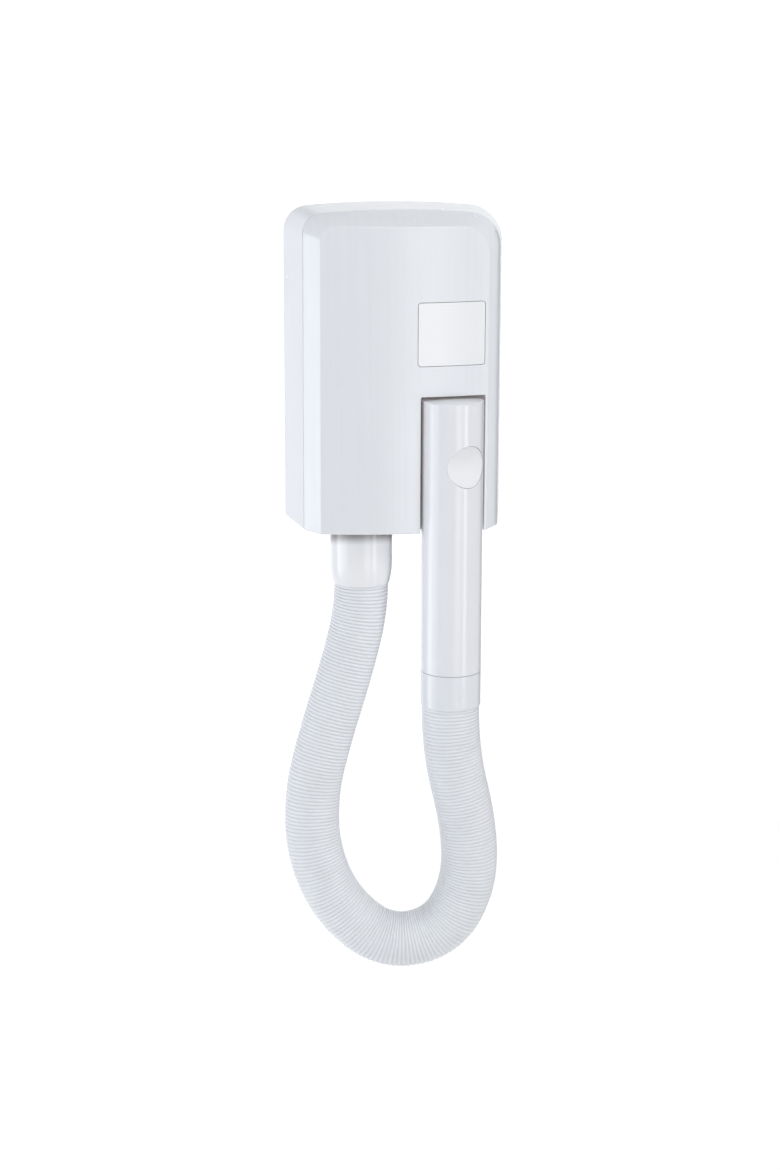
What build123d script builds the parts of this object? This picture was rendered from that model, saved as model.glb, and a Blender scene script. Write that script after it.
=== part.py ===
from build123d import *
import os
from math import acos, asin, cos, degrees, pi, radians, sin, sqrt, tan

os.makedirs("parts", exist_ok=True)

# Wall-mounted hose hair dryer.  Millimetres, +Z up, the front faces -Y.
# The origin is the centre of the four wall-screw holes, on the back face of the
# housing, so the wall is the plane y = 0 and "depth" is the distance in front of it.

# ---------------------------------------------------------------- housing sizes
housing_height = 230.0      # flat bottom to the top of the seam
back_width = 160.0          # against the wall
seam_width = 142.0          # where the rear shell meets the front cover
front_width = 111.0         # of the cover's outline carried on to the front depth
seam_depth = 48.0
front_depth = 71.0          # crown of the front panel
panel_radius = 272.0        # front panel, curved about an upright axis
back_rise = 1.0             # the back stands this much higher than the seam
band_fall = 10.0            # fall of the bevel from the seam to the panel's top
crown_radius = 690.0        # arched top
crown_centre = -8.0         # the arch peaks a little left of the middle
left_shoulder = 15.0        # shoulder radii at the seam
right_shoulder = 24.0
shoulder_growth = 3.0       # added at the back, taken off at the front (twice)
foot_radius = 3.0           # bottom corners at the back
shell_wall = 2.5
floor_wall = 3.0
seam_gap = 0.15             # fine joint line between the two shells
crease_softening = 1.2      # round along the front panel's edge
shell_softening = 0.4       # round along the shells' and openings' edges
lip_clearance = 0.2
lip_wall = 1.2
lip_reach = 3.0             # the rear shell's lip inside the front cover
lip_root = 4.0
fit_gap = 0.3               # clearance round a clipped-in piece
face_gap = 0.1              # clearance between stacked faces

# ---------------------------------------------------------------- wall fixing
fixing_width = 124.0
fixing_height = 180.0
fixing_hole = 5.0
fixing_boss = 13.0
fixing_boss_depth = 6.0
cable_hole = 16.0
clamp_inset = 14.125        # cable to the outer side, at the clamp's front
terminal_inset = 13.0       # cable to the outer side, near the terminals' front
side_taper = (back_width - seam_width) / 2 / seam_depth
cable_x = max(
    clamp_inset - back_width / 2 + side_taper * 10.0,
    terminal_inset - back_width / 2 + side_taper * 16.0,
)
cable_z = -62.0

# ---------------------------------------------------------------- handset sizes
handset_diameter = 44.0
handset_wall = 2.0
handset_x = 34.6
handset_depth = 66.0
handset_top = -18.6
handset_bottom = -217.8
handset_turn = 24.6         # button direction, turned from the front towards +X
edge_softening = 0.8
cap_thickness = 2.0
cap_crown = 0.8
cap_spigot = 2.5
collar_length = 26.0
collar_gap = 0.4
spigot_wall = 2.0
spigot_length = 16.0
swivel_clearance = 0.05
ring_groove = 1.6
ring_width = 1.2

button_diameter = 30.6
button_z = -64.0
button_clearance = 0.3
button_travel = 2.5
button_wall = 1.5
button_scoop = 22.0         # thumb hollow, curved about a level axis
button_flange = 1.0
stem_diameter = 4.0

outlet_width = 28.0         # air outlet on the side away from the button
outlet_height = 27.0
outlet_top = -25.0
slat_count = 7
slat_thickness = 1.2

# ---------------------------------------------------------------- cradle recess
recess_clearance = 1.8
recess_top = -15.5
recess_corner = 1.2
cradle_wall = 2.0

# ---------------------------------------------------------------- blanking plate
plate_width = 48.5
plate_height = 45.0
plate_x = 33.0
plate_z = 29.0
plate_corner = 2.0
plate_gap = 0.35
plate_frame = 2.0
plate_frame_depth = 2.0

# ---------------------------------------------------------------- blower
blower_x = 8.5
blower_z = 52.0
scroll_back = 15.0          # depth of the scroll's back face
scroll_width = 38.0         # inside, along the shaft
scroll_wall = 2.0
cutoff_radius = 41.0
scroll_radius = 55.0        # where the spiral runs into the outlet
channel_width = 38.0
outlet_end = 0.0            # height of the scroll's outlet
spiral_steps = 8
ear_radius = 4.5
screw_core = 3.0
inlet_radius = 27.0
inlet_lip = 2.0

impeller_radius = 37.0
blade_inner = 29.0
blade_count = 28
blade_lead = 13.0           # degrees that a blade sweeps round the shaft
blade_thickness = 0.9
blade_length = 29.0
impeller_back = 3.5         # behind which the scroll's back wall lies
disc_thickness = 1.5
hub_inner = 20.5
hub_wall = 1.8
hub_depth = 25.0
hub_boss = 5.0
motor_diameter = 36.0
motor_length = 24.0
shaft_diameter = 3.2
bearing_diameter = 8.0
bearing_length = 4.0
bearing_clearance = 0.05

# ---------------------------------------------------------------- hot-air path
outlet_x = -27.5            # axis of the duct, the spout and the hose's start
outlet_depth = 36.0
duct_outer = 23.0
duct_wall = 1.5
duct_lower_end = -105.0
duct_floor = 3.0            # of the square sleeve, round the tube's mouth
sleeve_overlap = 8.0
sleeve_clearance = 0.2
mica_wall = 0.5
mica_length = 80.0
mica_top = -18.0
cutout_rise = 6.0           # thermostat and fuse above the lower end of the heater
frame_half_width = 16.2
frame_board = 1.2
coil_radius = 17.0
coil_wire = 0.6
coil_pitch = 8.0
coil_turns = 8

spout_radius = 22.6
spout_wall = 1.9
spout_straight_end = -142.0
spout_end = -157.0
spout_tip_radius = 20.6
spout_flange = 27.5
spout_flange_height = 2.4
socket_height = 9.0
socket_wall = 1.8

hose_radius = 20.6
hose_bore = 17.2


# ---------------------------------------------------------------- underside and electrics
grille_x = 38.0
grille_depth = 22.0
grille_width = 64.0
grille_reach = 32.0
grille_gap = 0.3
grille_slot = 2.4
grille_pitch = 4.4
grille_slots = 13
grille_rim = 2.6
clip_rise = 6.0
clip_width = 10.0
filter_height = 4.5

board_x = 35.0
board_z = -40.0
board_width = 60.0
board_height = 70.0
board_depth = 9.0
board_thickness = 1.6
board_margin = 3.0
standoff_radius = 3.0

terminal_z = -22.0
terminal_size = (16.0, 36.0, 14.0)
terminal_ways = 3
terminal_stand = 3.0
clamp_z = -44.0
clamp_size = (22.0, 7.0, 3.0)
clamp_stand = 7.0

switch_z = -60.0
switch_size = (20.0, 10.0, 8.0)
plunger_radius = 2.0
plunger_clearance = 0.08
plunger_travel = 3.0
plunger_flange = 3.2
touch_gap = 0.3             # between a plunger at rest and what presses it
magnet_z = -93.0
magnet_size = (16.0, 24.0, 5.0)
keeper_height = 30.0
keeper_sweep = 80.0
keeper_wall = 1.0

cover_screw_left = -62.0
cover_screw_right = 3.4
cover_screw_depth = 40.0
cover_tab_height = 8.0
cover_tab_rear = 35.0
cover_tab_front = 52.0
hook_x = 38.0
hook_width = 12.0


# ================================================================ housing form
housing_bottom = -housing_height / 2
housing_top = housing_height / 2


def at_depth(depth):
    """Upright plane that faces the room, at a distance in front of the wall."""
    return Plane.XZ.offset(depth)


def between(near, far, share):
    return near + (far - near) * share


def section_sizes(depth):
    """Half width, top, shoulder growth and foot radius of the housing at a depth."""
    if depth <= seam_depth:
        share = depth / seam_depth
        back = (back_width / 2, housing_top + back_rise, shoulder_growth, foot_radius)
        seam = (seam_width / 2, housing_top, 0.0, foot_radius / 2)
        return [between(near, far, share) for near, far in zip(back, seam)]
    share = (depth - seam_depth) / (front_depth - seam_depth)
    seam = (seam_width / 2, housing_top, 0.0, foot_radius / 2)
    front = (front_width / 2, housing_top - band_fall, -2 * shoulder_growth, foot_radius / 3)
    return [between(near, far, share) for near, far in zip(seam, front)]


def roof_height(depth, x, inset=0.0):
    """Height of the arched top at a depth and a distance from the middle."""
    roof = section_sizes(depth)[1]
    arch = crown_radius - inset
    return roof - crown_radius + sqrt(arch**2 - (x - crown_centre) ** 2)


def draw_section(depth, inset=0.0):
    """Outline of the housing at one depth, drawn inside the outer skin by inset."""
    half_width, top, growth, foot = section_sizes(depth)
    side = half_width - inset
    base = housing_bottom + inset
    left_top = (-side, roof_height(depth, -side, inset))
    right_top = (side, roof_height(depth, side, inset))
    with BuildLine() as outline:
        Polyline(left_top, (-side, base), (side, base), right_top)
        ThreePointArc(left_top, (crown_centre, top - inset), right_top)
    make_face(outline.edges())
    corners = (
        (left_top, left_shoulder + growth - inset),
        (right_top, right_shoulder + growth - inset),
        ((-side, base), max(foot - inset, foot / 3)),
        ((side, base), max(foot - inset, foot / 3)),
    )
    for corner, radius in corners:
        fillet(vertices().sort_by_distance(Vector(*corner))[0], radius)


def draw_panel_round(inset=0.0):
    """Plan of the round front: everything behind the curved front panel."""
    with Locations((0, panel_radius - front_depth)):
        Circle(panel_radius - inset)


def panel_depth(x, inset=0.0):
    """Depth of the front panel's surface at a distance from the middle."""
    radius = panel_radius - inset
    return front_depth - panel_radius + sqrt(radius**2 - x**2)


# The space inside both shells; each shell and the cradle are trimmed with it.
with BuildPart() as housing_cavity:
    with BuildSketch(at_depth(floor_wall)):
        draw_section(floor_wall, shell_wall)
    with BuildSketch(at_depth(seam_depth)):
        draw_section(seam_depth, shell_wall)
    loft(ruled=True)
    with BuildSketch(at_depth(seam_depth)):
        draw_section(seam_depth, shell_wall)
    with BuildSketch(at_depth(front_depth)):
        draw_section(front_depth, shell_wall)
    loft(ruled=True)
    with BuildSketch(Plane.XY.offset(housing_bottom)):
        draw_panel_round(shell_wall)
    extrude(amount=housing_height + back_rise, mode=Mode.INTERSECT)


# ================================================================ cradle form
handset_radius = handset_diameter / 2
recess_half = handset_radius + recess_clearance
cradle_back = handset_depth - recess_half - cradle_wall


def draw_recess(outset=0.0):
    """Plan of the cradle recess: a round back that opens straight to the front."""
    half = recess_half + outset
    reach = front_depth + 10.0
    with BuildLine() as outline:
        Polyline(
            (handset_x - half, -handset_depth),
            (handset_x - half, -reach),
            (handset_x + half, -reach),
            (handset_x + half, -handset_depth),
        )
        ThreePointArc(
            (handset_x + half, -handset_depth),
            (handset_x, -handset_depth + half),
            (handset_x - half, -handset_depth),
        )
    make_face(outline.edges())


with BuildPart() as recess_space:
    with BuildSketch(Plane.XY.offset(housing_bottom - 1.0)):
        draw_recess()
    extrude(amount=recess_top - housing_bottom + 1.0)
    fillet(edges().filter_by(Axis.Y).group_by(Axis.Z)[-1], recess_corner)


# ================================================================ fasteners
def drive_screws(seat, places, core, length, head, head_height):
    """Pan-head screws: heads stand on the seat plane, shanks go in behind it."""
    with BuildSketch(seat) as heads:
        with Locations(*places):
            Circle(head)
    extrude(heads.sketch, amount=head_height)
    with BuildSketch(seat) as shanks:
        with Locations(*places):
            Circle(core)
    extrude(shanks.sketch, amount=-length)


def drill(plane, places, radius, length):
    """Round holes from a plane, along its direction."""
    with BuildSketch(plane) as holes:
        with Locations(*places):
            Circle(radius)
    extrude(holes.sketch, amount=length, mode=Mode.SUBTRACT)


def raise_posts(plane, places, radius, length):
    """Round posts from a plane, along its direction."""
    with BuildSketch(plane) as posts:
        with Locations(*places):
            Circle(radius)
    extrude(posts.sketch, amount=length)


# ================================================================ shared places
fixing_places = [
    (side * fixing_width / 2, rise * fixing_height / 2) for side in (-1, 1) for rise in (-1, 1)
]
board_places = [
    (
        board_x + side * (board_width / 2 - board_margin),
        board_z + rise * (board_height / 2 - board_margin),
    )
    for side in (-1, 1)
    for rise in (-1, 1)
]


def spiral_radius(angle, outset=0.0):
    """Inside radius of the scroll at an angle counted from the right, anticlockwise."""
    share = (angle - cutoff_angle) / (540.0 - cutoff_angle)
    return between(cutoff_radius, scroll_radius, share) + outset


def scroll_point(radius, angle):
    return (radius * cos(radians(angle)), radius * sin(radians(angle)))


channel_right = outlet_x + channel_width / 2
cutoff_angle = 360.0 - degrees(acos((channel_right - blower_x) / cutoff_radius))
ear_angles = (45.0, 135.0, 315.0)
ear_places = [
    scroll_point(spiral_radius(angle if angle > cutoff_angle else angle + 360.0) + scroll_wall + 3.6, angle)
    for angle in ear_angles
]
channel_ear = (outlet_x - channel_width / 2 - scroll_wall - 3.6 - blower_x, 13.0 - blower_z)
ear_places.append(channel_ear)
blower_places = [(x + blower_x, z + blower_z) for x, z in ear_places]


def at_blower(depth):
    """Plane across the blower's shaft at a depth, centred on the shaft."""
    return Plane(origin=(blower_x, -depth, blower_z), x_dir=(1, 0, 0), z_dir=(0, -1, 0))


def draw_scroll(outset=0.0, end=outlet_end):
    """Spiral that widens from the cutoff, then runs straight down to the outlet."""
    corner = channel_right + outset - blower_x
    start = 360.0 - degrees(acos(corner / (cutoff_radius + outset)))
    angles = [between(start, 540.0, step / spiral_steps) for step in range(spiral_steps + 1)]
    points = [scroll_point(spiral_radius(angle, outset), angle) for angle in angles]
    foot = end - blower_z
    with BuildLine() as outline:
        Spline(*points)
        Polyline(points[-1], (points[-1][0], foot), (points[0][0], foot), points[0])
    make_face(outline.edges())


# ================================================================ rear housing
def lip_ring(near, far, outer_inset, inner_inset):
    """Band that follows the shells between two depths and two insets."""
    with BuildPart() as ring:
        for inset, mode in ((outer_inset, Mode.ADD), (inner_inset, Mode.SUBTRACT)):
            with BuildSketch(at_depth(near)) as near_outline:
                draw_section(near, inset)
            with BuildSketch(at_depth(far)) as far_outline:
                draw_section(far, inset)
            loft([near_outline.sketch, far_outline.sketch], ruled=True, mode=mode)
    return ring.part


lip_inside = shell_wall + lip_clearance + lip_wall
lip_root_ring = lip_ring(seam_depth - lip_root, seam_depth, shell_wall / 2, lip_inside)
lip_front_ring = lip_ring(
    seam_depth, seam_depth + lip_reach, shell_wall + lip_clearance, lip_inside
)
lip_foot = housing_bottom + 12.0
saddle_heights = (-40.0, -84.0)
saddle_thickness = 3.0
saddle_half = 15.0

with BuildPart() as seam_lip:
    add(lip_root_ring)
    add(lip_front_ring)
    with BuildSketch(at_depth(seam_depth - 2 * lip_root)):
        with Locations((0, housing_bottom)):
            Rectangle(back_width, 2 * (lip_foot - housing_bottom))
    extrude(amount=4 * lip_root, mode=Mode.SUBTRACT)

with BuildPart() as rear_housing:
    with BuildSketch(at_depth(0)):
        draw_section(0)
    with BuildSketch(at_depth(seam_depth)):
        draw_section(seam_depth)
    loft(ruled=True)
    fillet(faces().sort_by(Axis.Y)[-1].edges(), 2 * shell_softening)
    fillet(faces().sort_by(Axis.Y)[0].edges(), shell_softening)
    add(housing_cavity.part, mode=Mode.SUBTRACT)
    # a lip round the sides and the top carries the front cover
    add(seam_lip.part)
    # bosses on the floor: wall fixings, blower, circuit board, terminals, cable clamp
    raise_posts(
        at_depth(floor_wall / 2), fixing_places, fixing_boss / 2, fixing_boss_depth - floor_wall / 2
    )
    raise_posts(
        at_depth(floor_wall / 2), blower_places, ear_radius, scroll_back - floor_wall / 2
    )
    raise_posts(
        at_depth(floor_wall / 2), board_places, standoff_radius, board_depth - floor_wall / 2
    )
    terminal_places = [(cable_x, terminal_z + rise * terminal_size[1] / 3) for rise in (-1, 1)]
    raise_posts(
        at_depth(floor_wall / 2), terminal_places, standoff_radius,
        floor_wall / 2 + terminal_stand,
    )
    clamp_places = [(cable_x + side * clamp_size[0] / 3, clamp_z) for side in (-1, 1)]
    raise_posts(
        at_depth(floor_wall / 2), clamp_places, standoff_radius, floor_wall / 2 + clamp_stand
    )
    # two saddles cradle the back of the hot-air duct
    for height in saddle_heights:
        with BuildSketch(Plane.XY.offset(height - saddle_thickness / 2)) as saddle:
            with Locations((outlet_x, -(floor_wall + outlet_depth) / 2)):
                Rectangle(2 * saddle_half, outlet_depth - floor_wall + 1.0)
            with Locations((outlet_x, -outlet_depth)):
                Circle(duct_outer + face_gap, mode=Mode.SUBTRACT)
        extrude(saddle.sketch, amount=saddle_thickness)
    # openings: fixing holes, cable entry, screw cores, spout, recess and inlet grille
    drill(at_depth(-1), fixing_places, fixing_hole / 2, fixing_boss_depth + 2)
    drill(at_depth(-1), [(cable_x, cable_z)], cable_hole / 2, floor_wall + 2)
    drill(at_depth(floor_wall), blower_places, screw_core / 2, scroll_back)
    drill(at_depth(floor_wall), board_places + terminal_places + clamp_places, screw_core / 2, 20)
    drill(
        Plane.XY.offset(housing_bottom - 1), [(outlet_x, -outlet_depth)],
        spout_radius + lip_clearance, shell_wall + 2,
    )
    drill(
        Plane.XY.offset(housing_bottom - 1),
        [(x, -cover_screw_depth) for x in (cover_screw_left, cover_screw_right)],
        screw_core / 2 + lip_clearance, shell_wall + 2,
    )
    add(recess_space.part, mode=Mode.SUBTRACT)
    with BuildSketch(Plane.XY.offset(housing_bottom - 1)) as grille_opening:
        with Locations((grille_x, -grille_depth)):
            Rectangle(grille_width, grille_reach)
    extrude(grille_opening.sketch, amount=shell_wall + 2, mode=Mode.SUBTRACT)


# ================================================================ front cover
plate_opening = (plate_width + 2 * plate_gap, plate_height + 2 * plate_gap)
ear_size = 8.0
ear_front = 64.0
ear_thickness = 2.0
ear_screw_reach = 3.0
cradle_ears = [
    (handset_x - recess_half - cradle_wall - ear_size / 2, recess_top - 15.0),
    (handset_x - recess_half - cradle_wall - ear_size / 2, housing_bottom + 22.0),
    (handset_x, recess_top + cradle_wall + ear_size / 2),
]

# bosses that the cradle is screwed to, trimmed to the panel's inner face
with BuildPart() as cradle_bosses:
    raise_posts(at_depth(ear_front), cradle_ears, standoff_radius, front_depth - ear_front)
    with BuildSketch(Plane.XY.offset(housing_bottom)):
        draw_panel_round(shell_wall / 2)
    extrude(amount=housing_height, mode=Mode.INTERSECT)

with BuildPart() as front_cover:
    with BuildSketch(at_depth(seam_depth + seam_gap)):
        draw_section(seam_depth + seam_gap)
    with BuildSketch(at_depth(front_depth)):
        draw_section(front_depth)
    loft(ruled=True)
    with BuildSketch(Plane.XY.offset(housing_bottom)):
        draw_panel_round()
    extrude(amount=housing_height, mode=Mode.INTERSECT)
    fillet(faces().filter_by(GeomType.CYLINDER).sort_by(SortBy.AREA)[-1].edges(), crease_softening)
    fillet(faces().sort_by(Axis.Y)[-1].edges(), shell_softening)
    add(housing_cavity.part, mode=Mode.SUBTRACT)
    add(cradle_bosses.part)
    drill(at_depth(ear_front), cradle_ears, screw_core / 2, ear_screw_reach)
    # two screw tabs reach back over the rear shell's bottom wall
    for x, width in ((cover_screw_left, 10.0), (cover_screw_right, 6.8)):
        with BuildSketch(Plane.XY.offset(housing_bottom + shell_wall + face_gap)) as tab:
            with Locations((x, -(cover_tab_rear + cover_tab_front) / 2)):
                Rectangle(width, cover_tab_front - cover_tab_rear)
        extrude(tab.sketch, amount=cover_tab_height)
        with BuildSketch(Plane.XY.offset(housing_bottom + shell_wall / 2)) as foot:
            with Locations((x, -(seam_depth + seam_gap + cover_tab_front) / 2)):
                Rectangle(width, cover_tab_front - seam_depth - seam_gap)
        extrude(foot.sketch, amount=shell_wall)
    drill(
        Plane.XY.offset(housing_bottom),
        [(x, -cover_screw_depth) for x in (cover_screw_left, cover_screw_right)],
        screw_core / 2, cover_tab_height,
    )
    # two hooks catch behind the rear shell's lip at the top
    for x in (-hook_x, hook_x):
        low_side = x + (hook_width / 2 if x > crown_centre else -hook_width / 2)
        arm_top = roof_height(seam_depth + lip_reach, low_side, lip_inside) - lip_clearance
        nose_top = roof_height(seam_depth - lip_root, low_side, shell_wall) - 2 * lip_clearance
        with BuildSketch(Plane.YZ.offset(x - hook_width / 2)) as hook:
            with BuildLine():
                Polyline(
                    (-(seam_depth + 12.0), arm_top - 2.0),
                    (-(seam_depth - lip_root - 3.6), arm_top - 2.0),
                    (-(seam_depth - lip_root - 3.6), nose_top),
                    (-(seam_depth - lip_root - lip_clearance), nose_top),
                    (-(seam_depth - lip_root - lip_clearance), arm_top),
                    (-(seam_depth + 12.0), arm_top),
                    close=True,
                )
            make_face()
        extrude(hook.sketch, amount=hook_width)
    # openings: cradle recess, blanking plate and spout
    add(recess_space.part, mode=Mode.SUBTRACT)
    with BuildSketch(at_depth(seam_depth)) as plate_hole:
        with Locations((plate_x, plate_z)):
            RectangleRounded(*plate_opening, plate_corner + plate_gap)
    extrude(plate_hole.sketch, amount=front_depth, mode=Mode.SUBTRACT)
    panel_edges = faces().filter_by(GeomType.CYLINDER).sort_by(SortBy.AREA)[-1].edges()
    opening_edges = panel_edges.filter_by(
        lambda edge: abs(edge.center().X - plate_x) < plate_width / 2 + 2.0
        and abs(edge.center().Z - plate_z) < plate_height / 2 + 2.0
    )
    fillet(opening_edges, shell_softening / 2)
    drill(
        Plane.XY.offset(housing_bottom - 1), [(outlet_x, -outlet_depth)],
        spout_radius + lip_clearance, shell_wall + 2,
    )



# ================================================================ blanking plate
# Closes the opening for a shaver socket; its face follows the front panel.
frame_size = (plate_width - 2 * plate_frame, plate_height - 2 * plate_frame)
frame_rear = panel_depth(plate_x + plate_width / 2, shell_wall) - plate_frame_depth
clip_front = panel_depth(plate_x + clip_width / 2, shell_wall) - face_gap

# the space behind the plate, inside and outside its stiffening frame
with BuildPart() as plate_hollow:
    with BuildSketch(at_depth(frame_rear - 1.0)):
        with Locations((plate_x, plate_z)):
            Rectangle(2 * plate_width, 2 * plate_height)
            Rectangle(*frame_size, mode=Mode.SUBTRACT)
            Rectangle(frame_size[0] - 2 * plate_frame, frame_size[1] - 2 * plate_frame)
    extrude(amount=front_depth)
    with BuildSketch(Plane.XY.offset(plate_z - 2 * plate_height)):
        draw_panel_round(shell_wall)
    extrude(amount=4 * plate_height, mode=Mode.INTERSECT)

with BuildPart() as blanking_plate:
    with BuildSketch(at_depth(frame_rear)):
        with Locations((plate_x, plate_z)):
            RectangleRounded(plate_width, plate_height, plate_corner)
    extrude(amount=front_depth)
    with BuildSketch(Plane.XY.offset(plate_z - plate_height)):
        draw_panel_round()
    extrude(amount=2 * plate_height, mode=Mode.INTERSECT)
    fillet(faces().filter_by(GeomType.CYLINDER).sort_by(SortBy.AREA)[-1].edges(), shell_softening / 2)
    add(plate_hollow.part, mode=Mode.SUBTRACT)
    # two latches on the frame snap behind the panel
    for rise in (-1, 1):
        with BuildSketch(at_depth(clip_front - plate_frame)):
            with Locations((plate_x, plate_z + rise * (frame_size[1] / 2 + plate_frame / 2))):
                Rectangle(clip_width, plate_frame + 2 * plate_gap + 1.0)
        extrude(amount=plate_frame)


# ================================================================ handset cradle
# Moulded trough behind the recess, with a cage for the parking switch and a
# pocket for the magnet that holds the handset.
switch_front = cradle_back - 4.9
cage_rear = switch_front - switch_size[2] + 1.0
cage_wall = 2.0

with BuildPart() as handset_cradle:
    with BuildSketch(Plane.XY.offset(housing_bottom)):
        draw_recess(cradle_wall)
    extrude(amount=recess_top + cradle_wall - housing_bottom)
    for height, size in ((switch_z, switch_size), (magnet_z, magnet_size)):
        rear = cage_rear if height == switch_z else cradle_back - magnet_size[2]
        with BuildSketch(at_depth(rear)) as cage:
            with Locations((handset_x, height)):
                Rectangle(size[0] + 2 * (fit_gap + cage_wall), size[1] + 2 * (fit_gap + cage_wall))
                Rectangle(size[0] + 2 * fit_gap, size[1] + 2 * fit_gap, mode=Mode.SUBTRACT)
        extrude(cage.sketch, amount=handset_depth - rear)
    for x, z in cradle_ears:
        with BuildSketch(at_depth(ear_front - ear_thickness)) as ear:
            with Locations((x, z)):
                Rectangle(ear_size + 2.0, ear_size)
        extrude(ear.sketch, amount=ear_thickness - face_gap / 2)
    add(recess_space.part, mode=Mode.SUBTRACT)
    add(housing_cavity.part, mode=Mode.INTERSECT)
    drill(at_depth(ear_front - 5), cradle_ears, screw_core / 2 + face_gap, 6)
    drill(
        at_depth(cradle_back - 5), [(handset_x, switch_z)],
        plunger_radius + plunger_clearance, 10,
    )

with BuildPart() as cradle_screws:
    drive_screws(
        Plane(origin=(0, -(ear_front - ear_thickness), 0), x_dir=(-1, 0, 0), z_dir=(0, 1, 0)),
        [(-x, z) for x, z in cradle_ears], screw_core / 2, ear_thickness + ear_screw_reach, 2.6, 1.8,
    )

# Snap-action switch behind the cradle: the parked handset keeps the dryer off.
with BuildPart() as parking_switch:
    with BuildSketch(at_depth(switch_front - switch_size[2])):
        with Locations((handset_x, switch_z)):
            Rectangle(switch_size[0], switch_size[1])
    extrude(amount=switch_size[2])
    with BuildSketch(at_depth(switch_front - switch_size[2])):
        with Locations((handset_x, switch_z)):
            with GridLocations(7.0, 1, 3, 1):
                Rectangle(0.8, 4.0)
    extrude(amount=-4.0)

plunger_tip = handset_depth - handset_radius - touch_gap
with BuildPart() as parking_plunger:
    with BuildSketch(at_depth(switch_front + touch_gap)):
        with Locations((handset_x, switch_z)):
            Circle(plunger_flange)
    extrude(amount=1.0)
    with BuildSketch(at_depth(switch_front + touch_gap)):
        with Locations((handset_x, switch_z)):
            Circle(plunger_radius)
    extrude(amount=plunger_tip - switch_front - touch_gap)
    fillet(edges().filter_by(GeomType.CIRCLE).sort_by(Axis.Y)[0], 0.8)

with BuildPart() as cradle_magnet:
    with BuildSketch(at_depth(cradle_back - magnet_size[2])):
        with Locations((handset_x, magnet_z)):
            Rectangle(magnet_size[0], magnet_size[1])
    extrude(amount=magnet_size[2] - face_gap)
    chamfer(edges().filter_by(Axis.Y), 1.0)


# ================================================================ inlet grille and filter
with BuildPart() as inlet_grille:
    with BuildSketch(Plane.XY.offset(housing_bottom)):
        with Locations((grille_x, -grille_depth)):
            Rectangle(grille_width - 2 * grille_gap, grille_reach - 2 * grille_gap)
            with GridLocations(grille_pitch, 1, grille_slots, 1):
                SlotOverall(
                    grille_reach - 2 * grille_rim, grille_slot, rotation=90, mode=Mode.SUBTRACT
                )
    extrude(amount=shell_wall)
    for side in (-1, 1):
        end = grille_x + side * (grille_width / 2 - grille_gap)
        with BuildSketch(Plane.XZ.offset(grille_depth - clip_width / 2)) as clip:
            with BuildLine():
                Polyline(
                    (end, housing_bottom + shell_wall / 2),
                    (end, housing_bottom + shell_wall + face_gap),
                    (end + side * 1.2, housing_bottom + shell_wall + face_gap),
                    (end, housing_bottom + clip_rise),
                    (end - side * 1.5, housing_bottom + clip_rise),
                    (end - side * 1.5, housing_bottom + shell_wall / 2),
                    close=True,
                )
            make_face()
        extrude(clip.sketch, amount=clip_width)

with BuildPart() as inlet_filter:
    with BuildSketch(Plane.XY.offset(housing_bottom + shell_wall + face_gap)):
        with Locations((grille_x, -grille_depth)):
            Rectangle(grille_width - 2 * grille_gap - 4.0, grille_reach - 2 * grille_rim)
    extrude(amount=filter_height)


# ================================================================ electrics on the floor
with BuildPart() as cable_grommet:
    with BuildSketch(at_depth(0.0)):
        with Locations((cable_x, cable_z)):
            Circle(cable_hole / 2 - face_gap)
    extrude(amount=floor_wall + face_gap)
    with BuildSketch(at_depth(floor_wall + face_gap)):
        with Locations((cable_x, cable_z)):
            Circle(cable_hole / 2 + 2.0)
    extrude(amount=1.5)
    with BuildSketch(at_depth(0.0)):
        with Locations((cable_x, cable_z)):
            Circle(cable_hole / 2 - 3.5)
    extrude(amount=3 * floor_wall, mode=Mode.SUBTRACT)

with BuildPart() as cable_clamp:
    with BuildSketch(at_depth(floor_wall + clamp_stand)):
        with Locations((cable_x, clamp_z)):
            RectangleRounded(clamp_size[0], clamp_size[1], 2.0)
    extrude(amount=clamp_size[2])
    with BuildSketch(Plane.XZ.offset(0)) as hollow:
        with Locations((cable_x, clamp_z)):
            Rectangle(6.0, clamp_size[1])
    extrude(hollow.sketch, amount=floor_wall + clamp_stand + 1.0, mode=Mode.SUBTRACT)
    drill(at_depth(floor_wall), clamp_places, screw_core / 2 + face_gap, 20)

with BuildPart() as terminal_block:
    with BuildSketch(at_depth(floor_wall + terminal_stand)):
        with Locations((cable_x, terminal_z)):
            RectangleRounded(terminal_size[0], terminal_size[1], 1.5)
    extrude(amount=terminal_size[2])
    way_pitch = terminal_size[1] / terminal_ways
    way_front = floor_wall + terminal_stand + terminal_size[2]
    ways = [(cable_x, terminal_z + way_pitch * (way - 1)) for way in range(terminal_ways)]
    # screw wells from the front, wire funnels from the side
    drill(at_depth(way_front - 8.0), ways, 2.4, 8.0)
    with BuildSketch(Plane.YZ.offset(cable_x - terminal_size[0] / 2)) as funnels:
        with Locations(*[(-(way_front - 9.0), z) for x, z in ways]):
            Circle(1.8)
    extrude(funnels.sketch, amount=terminal_size[0], mode=Mode.SUBTRACT)
    drill(
        at_depth(floor_wall), [(cable_x, terminal_z + rise * terminal_size[1] / 3) for rise in (-1, 1)],
        screw_core / 2, 3.0,
    )

with BuildPart() as terminal_screws:
    for x, z in ways:
        with BuildSketch(at_depth(way_front - 8.0)):
            with Locations((x, z)):
                Circle(2.3)
        extrude(amount=3.0)

with BuildPart() as control_board:
    with BuildSketch(at_depth(board_depth)):
        with Locations((board_x, board_z)):
            Rectangle(board_width, board_height)
    extrude(amount=board_thickness)
    drill(at_depth(board_depth - 1), board_places, screw_core / 2 + face_gap, 5)

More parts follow.
